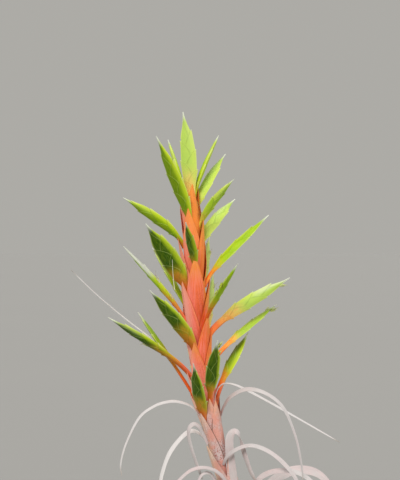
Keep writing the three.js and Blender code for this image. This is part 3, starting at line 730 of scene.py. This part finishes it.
def caudex():
    """A turned cone, its side broken by the shelves of shed leaves: a spiral of steps whose
    depth is a saw of height and bearing."""
    profile = np.array([
        (CAUDEX_BASE, 0, 0), (CAUDEX_RADIUS, 0, CAUDEX_RIM - 3), (CAUDEX_RADIUS, 0, CAUDEX_RIM),
        (HEART_RADIUS - 1, 0, CAUDEX_TOP),
    ], float)
    share = np.linspace(0, 1, CAUDEX_ROWS)[:, None]
    points, _ = along_line(profile, share[:, 0])
    radius, height = points[:, 0:1], points[:, 2:3]
    turn = full_turn(CAUDEX_SIDES)[None, :]
    saw = (height / SHELF_HEIGHT + 3 * turn / np.pi) % 1
    broken = smooth(share, 0.08, 0.25) * (1 - smooth(share, 0.9, 1))
    radius = radius - broken * (SHELF_DEPTH * saw + 0.5 * np.sin(14 * turn + height))
    block = np.stack(np.broadcast_arrays(*swung(radius, 0, turn), height), -1)
    return block, channels(block.shape[:-1], saw)


def old_leaves():
    """Papery stubs of shed leaves, fanned out under the rosette. Each is a narrow shell that
    leaves the rim, dips to the ground and curls up a little at its torn end."""
    number = np.arange(OLD_LEAF_COUNT)[:, None, None]
    bearing = number * LEAF_TURN + 0.4
    s = np.linspace(0, 1, OLD_LEAF_ROWS)[None, :, None]
    t = np.linspace(1, -1, OLD_LEAF_COLUMNS)[None, None, :]
    length = OLD_LEAF_LENGTH + 9 * jitter(number, 11)
    half = (9 + 2 * jitter(number, 12)) * (1 - 0.72 * s**1.4)
    radius = CAUDEX_RADIUS - 7 + length * s
    height = lerp(7, 1.6, smooth(s, 0, 0.6)) + 2.5 * smooth(s, 0.7, 1) * (1 + jitter(number, 13))
    height = height + 0.1 * half * t * t + 0.3 * np.sin(8 * s + 5 * t)
    x, y = swung(radius, half * t, bearing)
    heights = height + OLD_LEAF_LIFT, height - OLD_LEAF_LIFT
    block = shell(*(np.stack(np.broadcast_arrays(x, y, z), -1) for z in heights))
    return block, channels(block.shape[:-1], s, 1)


def root(number):
    """A wiry root that leaves the rim and wanders over the ground."""
    bearing = 2.4 * number + 0.5 * jitter(number, 21)
    length = ROOT_LENGTH + 14 * jitter(number, 22)
    step = np.linspace(0, 1, 6)
    swing = bearing + 0.35 * np.sin(5 * step + number) * step
    distance = CAUDEX_BASE + 4 + length * step
    height = np.maximum(0.9, 4 * (1 - 3 * step))
    points = np.stack([*swung(distance, 0, swing), height], -1)
    block = tube(through(points), lambda share: lerp(*ROOT_RADII, share), ROOT_ROWS, ROOT_SIDES)
    return block, channels(block.shape[:-1], 0.8)


def make_caudex(material):
    parts = [caudex(), old_leaves()] + [root(number) for number in range(ROOT_COUNT)]
    make_piece("caudex_and_roots", parts, material, "caudex_bark", "caudex")


# ---------------------------------------------------------------- withered flowers

SHRED_ROWS = 12
SHRED_LIFT = 0.16  # of its faces off its middle
# A bract's dry tip that hangs beside the stem: its line downwards and the radii at its ends.
THREAD_PATH = (-84, -27, 441), (-83.6, -27, 430), (-82.6, -26, 416), (-81.2, -25, 404)
THREAD_RADII = 0.2, 0.55
# spike, share of its length, side, number of shreds, their length, how green they still are
WITHERED_FLOWERS = (
    ("spike_mid_left", 0.5, -1, 6, 15, 0.0), ("spike_mid_left", 0.3, -1, 4, 10, 0.1),
    ("spike_mid_right_front", 0.62, 1, 9, 11, 1.0), ("spike_mid_right_front", 0.5, 1, 9, 10, 0.9),
    ("spike_mid_right_front", 0.5, -1, 5, 7, 0.8),
    ("spike_under_front", 0.9, -1, 10, 9, 0.8), ("spike_under_front", 0.8, -1, 6, 8, 0.6),
    ("spike_under_right", 0.9, 1, 7, 11, 0.7), ("spike_under_right", 0.86, -1, 6, 9, 0.5),
    ("spike_under_left", 0.55, 1, 7, 12, 0.4), ("spike_under_left", 0.72, 1, 4, 7, 0.2),
    ("spike_low_right", 0.88, 1, 5, 9, 0.6), ("spike_high_back", 0.7, 1, 5, 9, 0.2),
    ("spike_mid_back", 0.75, -1, 5, 10, 0.2), ("spike_low_right_back", 0.8, 1, 5, 9, 0.2),
    ("spike_top_back", 0.7, -1, 4, 8, 0.2),
)


def withered_flower(place, share, hand, count, length, fresh):
    """Dry shreds that rise from a bract's axil: ribbons that follow the spike, spread out
    and curl over at their ends, by sines of the share of their length."""
    line, facing = spike_path(place)
    centre, side, face = spike_frame(line, np.array([share]), facing)
    _, along = along_line(line, np.array([share]))
    spike = SPIKES[place]
    half, _ = spike_size(spike, np.array([(share - spike.stalk) / (1 - spike.stalk)]))
    start = centre + hand * 0.8 * half[:, None] * side
    number = np.arange(count)[:, None, None]
    s = np.linspace(0, 1, SHRED_ROWS)[None, :, None]
    spread = 0.35 * jitter(number + 10 * share, 31)
    reach = length * (0.8 + 0.3 * jitter(number, 32))
    outward = reach * hand * (0.3 * s + 0.3 * spread * s + 0.12 * np.sin(4 * s + number))
    sideways = reach * (0.45 * spread * s + 0.1 * np.sin(5 * s + 2 * number))
    forward = reach * (s - 0.25 * s**3 * (1 + jitter(number, 33)))
    middle = start + forward * along + outward * side + sideways * face
    half = (0.5 + 0.5 * fresh) * (1 - 0.7 * s)
    twist = 3 * s + number
    across = np.cos(twist) * side + np.sin(twist) * face
    lift = unit(np.cross(along, across)) * SHRED_LIFT
    breadth = half * across
    corners = (breadth + lift, lift - breadth, -breadth - lift, breadth - lift)
    block = np.stack([middle + corner for corner in corners], -2)
    return block, channels(block.shape[:-1], s, jitter(number, 34), fresh)


def bract_thread():
    """The hair-thin dry tip of one bract, hanging beside the stem."""
    line = through(THREAD_PATH)
    block = tube(line, lambda share: lerp(*THREAD_RADII, share), 24, 6, level=(1, 0, 0))
    return block, channels(block.shape[:-1], 0.1)


def make_withered(material):
    parts = [withered_flower(*flower) for flower in WITHERED_FLOWERS] + [bract_thread()]
    make_piece("withered_flowers", parts, material, "bract_skin")


# ---------------------------------------------------------------- shader nodes


def colour(code):
    """Linear RGBA of an sRGB hex code."""
    parts = np.array([int(code[k:k + 2], 16) for k in (1, 3, 5)]) / 255
    linear = np.where(parts <= 0.04045, parts / 12.92, ((parts + 0.055) / 1.055) ** 2.4)
    return (*linear.tolist(), 1.0)


class Tree:
    """Adds nodes to one node tree. A socket that is handed in is linked, a value is set."""

    def __init__(self, tree):
        self.tree = tree

    def put(self, socket, value):
        if isinstance(value, bpy.types.NodeSocket):
            self.tree.links.new(value, socket)
        else:
            socket.default_value = value

    def fill(self, node, sockets):
        for key, value in sockets.items():
            self.put(node.inputs[key], value)

    def add(self, kind, sockets, **settings):
        node = self.tree.nodes.new(kind)
        for name, value in settings.items():
            setattr(node, name, value)
        self.fill(node, sockets)
        return node

    def math(self, operation, a, b=0.0):
        sockets = {0: a, 1: b}
        return self.add("ShaderNodeMath", sockets, operation=operation).outputs[0]

    def least(self, a, b):
        return self.math("MINIMUM", a, b)

    def most(self, a, b):
        return self.math("MAXIMUM", a, b)

    def times(self, first, *others):
        for other in others:
            first = self.math("MULTIPLY", first, other)
        return first

    def blend(self, a, b, share):
        """A share of the number a, and of b the rest."""
        return self.math("ADD", self.times(a, share), self.times(b, 1 - share))

    def span(self, value, low, high, to_low=0.0, to_high=1.0):
        """value from low to high, turned smoothly into to_low to to_high."""
        sockets = {0: value, 1: low, 2: high, 3: to_low, 4: to_high}
        node = self.add("ShaderNodeMapRange", sockets, interpolation_type="SMOOTHSTEP")
        return node.outputs["Result"]

    def lay(self, base, top, *shares):
        """A colour laid over a base, as strongly as the product of the shares. A colour is a
        socket or a hex code."""
        node = self.add("ShaderNodeMix", {0: self.times(*shares)}, data_type="RGBA")
        for socket, value in ((node.inputs[6], base), (node.inputs[7], top)):
            self.put(socket, colour(value) if isinstance(value, str) else value)
        return node.outputs[2]

    def ramp(self, value, *stops):
        """Colours at places from 0 to 1."""
        node = self.add("ShaderNodeValToRGB", {0: value})
        while len(node.color_ramp.elements) < len(stops):
            node.color_ramp.elements.new(1.0)
        for element, (place, code) in zip(node.color_ramp.elements, stops):
            element.position = place
            element.color = colour(code)
        return node.outputs["Color"]

    def attribute(self, name):
        """The four numbers of a point attribute."""
        node = self.add("ShaderNodeAttribute", {}, attribute_name=name)
        split = self.add("ShaderNodeSeparateColor", {0: node.outputs["Color"]})
        return (*split.outputs, node.outputs["Alpha"])

    def noise(self, place, scale, detail, roughness=0.5):
        sockets = {"Vector": place, "Scale": scale, "Detail": detail, "Roughness": roughness}
        return self.add("ShaderNodeTexNoise", sockets).outputs[0]

    def object_place(self):
        return self.add("ShaderNodeTexCoord", {}).outputs["Object"]

    def group(self, group, **sockets):
        return self.add("ShaderNodeGroup", sockets, node_tree=group).outputs

    def veins(self, across, along, lines, seed):
        return self.group(VEINS, Across=across, Along=along, Lines=lines, Seed=seed)["Line"]

    def scurf(self, scale, cover):
        outputs = self.group(SCURF, Scale=scale, Cover=cover)
        return outputs["Mask"], outputs["Height"]

    def mottle(self, scale):
        return self.group(MOTTLE, Scale=scale)["Value"]


def new_group(name, inputs, outputs):
    """An empty node group with named float inputs, given with their usual values, and float
    outputs."""
    group = bpy.data.node_groups.new(name, "ShaderNodeTree")
    for label, value in inputs.items():
        socket = group.interface.new_socket(label, in_out="INPUT", socket_type="NodeSocketFloat")
        socket.default_value = value
    for label in outputs:
        group.interface.new_socket(label, in_out="OUTPUT", socket_type="NodeSocketFloat")
    return group, Tree(group), group.nodes.new("NodeGroupInput"), group.nodes.new("NodeGroupOutput")


def veins_group():
    """Fine lines that run along a blade: noise stretched along it and squeezed across it."""
    inputs = {"Across": 0.0, "Along": 0.0, "Lines": 30.0, "Seed": 0.0}
    group, tree, given, result = new_group("veins", inputs, ("Line",))
    squeezed = tree.times(given.outputs["Across"], given.outputs["Lines"])
    stretched = tree.times(given.outputs["Along"], 5.0)
    place = tree.add("ShaderNodeCombineXYZ", {0: squeezed, 1: stretched, 2: given.outputs["Seed"]})
    noise = tree.noise(place.outputs[0], 1.0, 3.0)
    tree.put(result.inputs["Line"], tree.span(noise, 0.36, 0.64))
    return group


def scurf_group():
    """The silvery scales of the skin: a dense fine speckle, thicker in soft patches."""
    inputs = {"Scale": 1500.0, "Cover": 0.5}
    group, tree, given, result = new_group("scurf", inputs, ("Mask", "Height"))
    place = tree.object_place()
    fine = tree.noise(place, given.outputs["Scale"], 2.0, 0.7)
    level = tree.blend(fine, tree.noise(place, 90.0, 3.0), 0.6)
    edge = tree.math("SUBTRACT", 1.0, given.outputs["Cover"])
    below, above = tree.math("SUBTRACT", edge, 0.14), tree.math("ADD", edge, 0.14)
    tree.put(result.inputs["Mask"], tree.span(level, below, above))
    tree.put(result.inputs["Height"], fine)
    return group


def mottle_group():
    """Soft uneven patches of colour."""
    group, tree, given, result = new_group("mottle", {"Scale": 40.0}, ("Value",))
    place = tree.object_place()
    noise = tree.noise(place, given.outputs["Scale"], 4.0, 0.6)
    tree.put(result.inputs["Value"], tree.span(noise, 0.3, 0.7))
    return group


VEINS, SCURF, MOTTLE = veins_group(), scurf_group(), mottle_group()


def new_material(name, code, specular):
    """A material with a Principled shader, the colour that stands for it in a plain view, and
    the specular level of all of it."""
    material = bpy.data.materials.new(name)
    material.use_nodes = True
    material.diffuse_color = colour(code)
    tree = Tree(material.node_tree)
    tree.fill(tree.tree.nodes["Principled BSDF"], {"Specular IOR Level": specular})
    return material, tree


def finish_material(material, base, roughness, height, strength, distance):
    """The material with a varying colour, roughness and bump height linked to its shader."""
    tree = Tree(material.node_tree)
    sockets = {"Height": height, "Strength": strength, "Distance": distance}
    normal = tree.add("ShaderNodeBump", sockets).outputs["Normal"]
    sockets = {"Base Color": base, "Roughness": roughness, "Normal": normal}
    tree.fill(tree.tree.nodes["Principled BSDF"], sockets)
    return material


def spike_material():
    """Orange stalk, yellow foot, green blade with a painted highlight on the half that looks up or
    right and painted shade on the other, a painted shadow line under each bract's margin and
    silvery tips. The first number of tint says how deep the green is, partly painted shade; below
    0 it says how pale, partly painted light. A deep green spike has an olive foot, with painted
    shade on the side away from the light, and a pale one has a buttery foot."""
    material, tree = new_material("floral_bract_skin", LIME, 0.13)
    at, margin, chance, frost = tree.attribute("tone")
    shade, ripe, s, lit = tree.attribute("tint")
    deep = tree.most(shade, 0.0)
    paleness = tree.times(tree.least(shade, 0.0), -1.0)
    edge = tree.math("ABSOLUTE", lit)
    light = tree.span(lit, 0.0, 0.75)
    line = tree.veins(edge, s, 22.0, tree.times(chance, 9.0))
    patch = tree.mottle(55.0)
    scales, bumps = tree.scurf(1700.0, 0.42)

    # Painted highlight: spring green on the half of the blade that looks up or right, with soft
    # patches.
    lit_half_and_mottle = tree.most(tree.times(light, 0.8), tree.times(patch, 0.3))
    green = tree.lay(LIME, SPRING, lit_half_and_mottle)
    # Painted shade: deep green on the half away from the light, as strong as the spike's depth.
    shaded_half = tree.times(tree.span(lit, 0.1, 0.9, 1.0, 0.22), tree.span(patch, 0.0, 1.0, 0.85, 1.0))
    green = tree.lay(green, DEEP_GREEN, shaded_half, deep)
    green = tree.lay(green, PALE_GREEN, paleness)
    green = tree.lay(green, SPRING, line, 0.14)

    streak = tree.times(tree.math("SUBTRACT", tree.blend(line, patch, 0.5), 0.5), 0.5)
    # Painted light and shade: the lit half runs a little further towards green, the other stays
    # orange longer.
    lit_side_shift = tree.times(tree.math("SUBTRACT", light, 0.5), 0.25)
    uneven = tree.times(tree.math("ADD", streak, lit_side_shift), tree.span(ripe, 0.6, 1.0, 1.0, 0.1))
    ripe = tree.math("ADD", ripe, uneven)
    warm = tree.ramp(ripe, (0.0, ORANGE_RED), (0.35, ORANGE), (0.62, AMBER))
    # Painted highlight: salmon on the lit edge of the stalk and foot.
    warm = tree.lay(warm, SALMON, light, tree.span(ripe, 0.0, 0.6, 0.45, 0.0))
    # An olive foot on deep green spikes, partly their own colour and partly painted shade on the
    # side away from the light.
    olive_and_shade = tree.times(tree.span(shade, -0.1, 0.4, 0.0, 0.5), tree.span(lit, -0.5, 0.9, 1.0, 0.45))
    warm = tree.lay(warm, OLIVE_BROWN, olive_and_shade, tree.span(ripe, 0.0, 0.3, 0.5, 1.0))
    warm = tree.lay(warm, BUTTER, paleness, 0.9, tree.span(ripe, 0.0, 0.6, 0.35, 1.4))

    body = tree.lay(warm, green, tree.span(ripe, 0.42, 1.02))
    shadow = tree.span(margin, 0.7, 0.92)
    body = tree.lay(body, DEEP_GREEN, shadow, tree.span(s, 0.3, 0.6, 0.0, 0.22))
    thin = tree.most(tree.span(edge, 0.8, 1.0), tree.times(tree.span(margin, 0.93, 1.0), 0.4))
    body = tree.lay(body, PALE_MARGIN, thin, tree.span(ripe, 0.3, 0.9, 0.1, 0.5))
    spike_tip, bract_tip = tree.span(at, 0.86, 0.99, 0.0, 0.95), tree.span(s, 0.93, 1.0, 0.0, 0.5)
    body = tree.lay(body, SILVER_TIP, tree.most(spike_tip, bract_tip))
    silver = tree.math("ADD", frost, tree.times(scales, 0.02))
    body = tree.lay(body, SILVER_TIP, silver)
    relief = tree.blend(line, bumps, 0.6)
    roughness = tree.span(silver, 0.0, 0.6, 0.42, 0.8)
    return finish_material(material, body, roughness, relief, 0.3, 0.0003)


def stem_material():
    """Coral bracts, salmon on the left and orange-red on the right, partly their own colour and
    partly painted light on the left, which faces the key lamp, and painted shade on the right.
    They have rusty streaks, dark fine cracks, orange tips, painted shade at their overlapped feet,
    painted highlights along both edges, and are more golden towards the stem's top. The sheaths
    low down are pinkish silver with red speckles, painted shade at their covered feet, brown
    margins widened by a painted shadow, cream tips, and cream painted light on their left sides."""
    material, tree = new_material("bract_skin", CORAL, 0.18)
    s, across, chance, height = tree.attribute("tone")
    rightward, turned = tree.attribute("tint")[:2]
    line = tree.veins(across, s, 34.0, tree.times(chance, 7.0))
    patch = tree.mottle(38.0)
    speck = tree.mottle(620.0)
    scales, bumps = tree.scurf(1400.0, 0.5)

    # Salmon on the left to orange-red on the right: partly the bracts' own colour, partly painted
    # light on the left, which faces the key lamp, and painted shade on the right.
    own = tree.math("ADD", tree.blend(turned, rightward, 0.55), tree.times(chance, 0.35))
    upper = tree.ramp(tree.span(own, -1.0, 1.2), (0.1, SALMON), (0.55, CORAL), (1.0, ORANGE_RED))
    rusty = tree.times(tree.span(line, 0.3, 1.0), tree.span(patch, 0.2, 0.9, 0.2, 0.8))
    upper = tree.lay(upper, ORANGE_RED, rusty, tree.span(rightward, -1.0, 0.3, 0.3, 1.0))
    band = tree.veins(across, tree.times(s, 0.6), 7.0, own)
    upper = tree.lay(upper, ORANGE_RED, band, 0.6)
    upper = tree.lay(upper, SALMON, tree.span(band, 0.0, 0.5, 0.55, 0.0))
    cracks = tree.span(line, 0.8, 1.0)
    upper = tree.lay(upper, CREASE_AND_SHADE, cracks, tree.span(across, 0.2, 0.8, 0.1, 0.5))
    freckles = tree.span(speck, 0.45, 0.9)
    upper = tree.lay(upper, CREASE_AND_SHADE, freckles, tree.span(patch, 0.35, 0.8, 0.0, 0.45))
    # Painted shade at each bract's foot, where the bract below overlaps it.
    upper = tree.lay(upper, CREASE_AND_SHADE, tree.span(s, 0.1, 0.4, 0.5, 0.0))
    # Painted highlight: pale salmon patches on the lit left side.
    upper = tree.lay(upper, SALMON, patch, tree.span(rightward, -1.0, 0.4, 0.75, 0.0))
    upper = tree.lay(upper, ORANGE, tree.span(s, 0.6, 1.0), tree.span(patch, 0.0, 0.8, 0.8, 0.2))
    golden = tree.span(height, 0.72, 0.98, 0.0, 0.8)
    upper = tree.lay(upper, GOLDEN, golden, tree.span(rightward, -1.0, 0.2, 0.4, 1.0))
    # Painted highlight: lighter orange along the right edges.
    right_edge_highlight = tree.span(rightward, 0.55, 0.95)
    upper = tree.lay(upper, ORANGE, right_edge_highlight, tree.span(patch, 0.2, 0.8, 0.2, 0.8))
    # Painted rim highlight: rose along the left edges.
    rosy = tree.span(rightward, -0.95, -0.2, 0.75, 0.0)
    upper = tree.lay(upper, ROSE_HIGHLIGHT, rosy, tree.span(height, 0.6, 1.0, 1.0, 0.3))

    lower = tree.lay(SHEATH_PINK, SHEATH_SILVER, tree.span(patch, 0.25, 0.9))
    dots = tree.times(tree.span(speck, 0.48, 0.85), tree.span(s, 0.2, 0.75, 0.9, 0.4))
    lower = tree.lay(lower, SPECKLE_AND_SHADE, dots, tree.span(patch, 0.25, 0.7, 0.3, 1.0))
    # Painted shade at each sheath's foot, under the sheath that covers it.
    lower = tree.lay(lower, SPECKLE_AND_SHADE, tree.span(s, 0.0, 0.3, 0.55, 0.0))
    # Painted light: cream on the sheaths' left sides, which face the key lamp.
    lower = tree.lay(lower, SHEATH_CREAM, tree.span(rightward, -1.0, -0.4, 0.5, 0.0))
    lower = tree.lay(lower, SHEATH_CREAM, tree.span(s, 0.7, 1.0, 0.0, 0.6))

    low = tree.span(height, 0.38, 0.58, 1.0, 0.0)
    body = tree.lay(upper, lower, low)
    margin = tree.times(tree.span(across, 0.8, 0.97), tree.span(s, 0.15, 0.5), 0.4)
    body = tree.lay(body, tree.lay(ORANGE, BRACT_MARGIN, low), margin)
    # A dark line along each margin, partly its own brown and partly the painted shadow of the
    # lifted edge; on the sheaths that painted shadow widens it.
    rim_start = tree.span(low, 0.0, 1.0, 0.965, 0.86)
    rim = tree.times(tree.span(across, rim_start, 0.97), tree.span(low, 0.0, 1.0, 0.5, 1.0))
    rim_and_shadow_colour = tree.lay(CREASE_AND_SHADE, SHEATH_EDGE_AND_SHADOW, low)
    body = tree.lay(body, rim_and_shadow_colour, rim, tree.span(height, 0.26, 0.34, 0.2, 1.0))
    body = tree.lay(body, BRACT_MARGIN, line, 0.06)
    silver = tree.times(scales, tree.span(s, 0.3, 0.9, 0.02, 0.08))
    body = tree.lay(body, BRACT_MARGIN, silver)
    relief = tree.blend(line, bumps, 0.6)
    roughness = tree.span(silver, 0.0, 0.3, 0.5, 0.75)
    return finish_material(material, body, roughness, relief, 0.35, 0.0004)


def strap_material():
    """Silver-grey ribbons with a rosy blush or, where it is below 0, whiter, with darker fine
    veins and dry tips."""
    material, tree = new_material("strap_skin", STRAP_SILVER, 0.3)
    u, across, chance, blush = tree.attribute("tone")
    line = tree.veins(across, tree.times(u, 3.0), 11.0, chance)
    patch = tree.mottle(30.0)
    scales, bumps = tree.scurf(1300.0, 0.62)
    rosy = tree.math("ADD", tree.most(blush, 0.0), 0.15)
    body = tree.lay(STRAP_SILVER, STRAP_BLUSH, patch, rosy)
    body = tree.lay(body, STRAP_BLUSH, tree.span(u, 0.0, 0.16, 0.55, 0.0))
    body = tree.lay(body, STRAP_SHADE, line, 0.3)
    body = tree.lay(body, STRAP_BLOOM, scales, 0.45)
    body = tree.lay(body, STRAP_WHITE, tree.least(blush, 0.0), -1.0)
    body = tree.lay(body, DRY_TIP, tree.span(u, 0.92, 1.0, 0.0, 0.6))
    relief = tree.blend(line, bumps, 0.7)
    roughness = tree.span(patch, 0.0, 1.0, 0.62, 0.82)
    return finish_material(material, body, roughness, relief, 0.4, 0.0004)


def leaf_material():
    """Silver-green blades, greener at the foot and between the scales, and rosy at the tips."""
    material, tree = new_material("leaf_skin", LEAF_SILVER, 0.3)
    u, across, chance = tree.attribute("tone")[:3]
    line = tree.veins(across, tree.times(u, 2.0), 26.0, chance)
    patch = tree.mottle(22.0)
    scales, bumps = tree.scurf(1200.0, 0.55)
    body = tree.lay(LEAF_SILVER, LEAF_GREEN, patch, 0.55)
    body = tree.lay(body, LEAF_GREEN, tree.span(u, 0.0, 0.3, 0.5, 0.0))
    body = tree.lay(body, LEAF_GREEN, line, 0.35)
    body = tree.lay(body, SILVER_TIP, scales, 0.5)
    rosy = tree.span(u, 0.45, 0.95, 0.05, 0.75)
    body = tree.lay(body, LEAF_BLUSH, rosy, tree.span(patch, 0.2, 0.9, 0.4, 1.0))
    body = tree.lay(body, DRY_TIP, tree.span(u, 0.93, 1.0, 0.0, 0.8))
    relief = tree.blend(line, bumps, 0.7)
    roughness = tree.span(patch, 0.0, 1.0, 0.6, 0.85)
    return finish_material(material, body, roughness, relief, 0.45, 0.0006)


def bark_material():
    """Dry brown bark, darker in the shelves, and straw-coloured shed leaves."""
    material, tree = new_material("dry_bark", BARK, 0.2)
    deep, papery = tree.attribute("tone")[:2]
    patch = tree.mottle(60.0)
    fibre = tree.mottle(420.0)
    body = tree.lay(BARK, BARK_DARK, tree.span(deep, 0.3, 1.0))
    body = tree.lay(body, STRAW, papery, tree.span(patch, 0.1, 0.8, 0.5, 1.0))
    body = tree.lay(body, BARK_DARK, fibre, 0.4)
    roughness = tree.span(fibre, 0.0, 1.0, 0.75, 0.95)
    return finish_material(material, body, roughness, fibre, 0.6, 0.0006)


def withered_material():
    """Dry petals: straw and grey-pink, brown at the ends. The fresh ones are yellow-green."""
    material, tree = new_material("withered_petal", WITHERED, 0.25)
    s, chance, fresh = tree.attribute("tone")[:3]
    patch = tree.mottle(300.0)
    body = tree.lay(WITHERED, SILVER_TIP, patch, 0.6)
    body = tree.lay(body, WITHERED_DARK, tree.span(s, 0.55, 1.0, 0.0, 0.7))
    body = tree.lay(body, tree.lay(SPRING, OLIVE_BROWN, chance), fresh, 0.9)
    roughness = tree.span(patch, 0.0, 1.0, 0.6, 0.85)
    return finish_material(material, body, roughness, patch, 0.4, 0.0002)


def floor_material():
    """Plain matt paper with a faint unevenness."""
    material, tree = new_material("floor_paper", FLOOR_PAPER, 0.15)
    patch = tree.mottle(0.5)
    body = tree.lay(FLOOR_PAPER, SILVER_TIP, patch, 0.02)
    roughness = tree.span(patch, 0.0, 1.0, 0.85, 0.95)
    return finish_material(material, body, roughness, patch, 0.02, 0.0005)


# ---------------------------------------------------------------- stage

FLOOR_RADIUS, FLOOR_SIDES = 40.0, 128
CAMERA_PLACE = (-0.050, -1.5, 0.465)
CAMERA_LENS, CAMERA_SENSOR = 90, 36
# name: bearing and height of the lamp in degrees, width of its disc in degrees, power, colour
LAMPS = {
    "key_lamp": (-24, 42, 24, 2.2, (1.0, 0.975, 0.94)),
    "fill_lamp": (62, 24, 40, 0.9, (1.0, 0.98, 0.95)),
    "rim_lamp": (160, 45, 30, 0.7, (1.0, 0.98, 0.95)),
}
LAMP_DISTANCE = 3.0
AMBIENT_COLOUR, AMBIENT_STRENGTH = (0.96, 0.96, 0.95, 1.0), 0.55
BACKDROP_COLOUR, BACKDROP_STRENGTH = (0.417, 0.408, 0.382, 1.0), 1.0


def make_floor(material):
    """A large disc at the height that the plant rests on."""
    x, y = swung(FLOOR_RADIUS, 0, full_turn(FLOOR_SIDES))
    rim = np.stack([x, y, np.zeros(FLOOR_SIDES)], -1)
    mesh = bpy.data.meshes.new("floor")
    mesh.from_pydata(rim.tolist(), [], [list(range(FLOOR_SIDES))])
    mesh.materials.append(material)
    add_object("floor", mesh)


def make_lamps():
    """Wide distant lamps. A bearing of 0 is behind the camera, and 90 is to its right."""
    for name, (bearing, height, width, power, tone) in LAMPS.items():
        lamp = bpy.data.lights.new(name, "SUN")
        lamp.angle = math.radians(width)
        lamp.energy = power
        lamp.color = tone
        turn, rise = math.radians(bearing), math.radians(height)
        level = math.cos(rise)
        away = Vector((math.sin(turn) * level, -math.cos(turn) * level, math.sin(rise)))
        holder = add_object(name, lamp)
        holder.location = away * LAMP_DISTANCE
        holder.rotation_euler = (-away).to_track_quat("-Z", "Y").to_euler()


def make_world():
    """Even light from all round, and behind the plant a backdrop as pale as the lit floor."""
    world = bpy.data.worlds.new("studio")
    world.use_nodes = True
    tree = Tree(world.node_tree)
    ambient = world.node_tree.nodes["Background"]
    tree.fill(ambient, {"Color": AMBIENT_COLOUR, "Strength": AMBIENT_STRENGTH})
    sockets = {"Color": BACKDROP_COLOUR, "Strength": BACKDROP_STRENGTH}
    backdrop = tree.add("ShaderNodeBackground", sockets)
    seen = tree.add("ShaderNodeLightPath", {}).outputs["Is Camera Ray"]
    sockets = {0: seen, 1: ambient.outputs[0], 2: backdrop.outputs[0]}
    shown = tree.add("ShaderNodeMixShader", sockets)
    tree.put(world.node_tree.nodes["World Output"].inputs["Surface"], shown.outputs[0])
    bpy.context.scene.world = world


def make_camera():
    """Level, facing the stem, so that the frame is 600 mm high at the stem."""
    data = bpy.data.cameras.new("camera")
    data.lens = CAMERA_LENS
    data.sensor_width = CAMERA_SENSOR
    camera = add_object("camera", data)
    camera.location = CAMERA_PLACE
    camera.rotation_euler = (math.pi / 2, 0, 0)
    bpy.context.scene.camera = camera


# ---------------------------------------------------------------- assembly

make_camera()
make_world()
make_lamps()

make_floor(floor_material())
make_spikes(spike_material())
make_stem(stem_material())
make_straps(strap_material())
make_leaves(leaf_material())
make_caudex(bark_material())
make_withered(withered_material())

bpy.context.scene.view_settings.view_transform = "Standard"
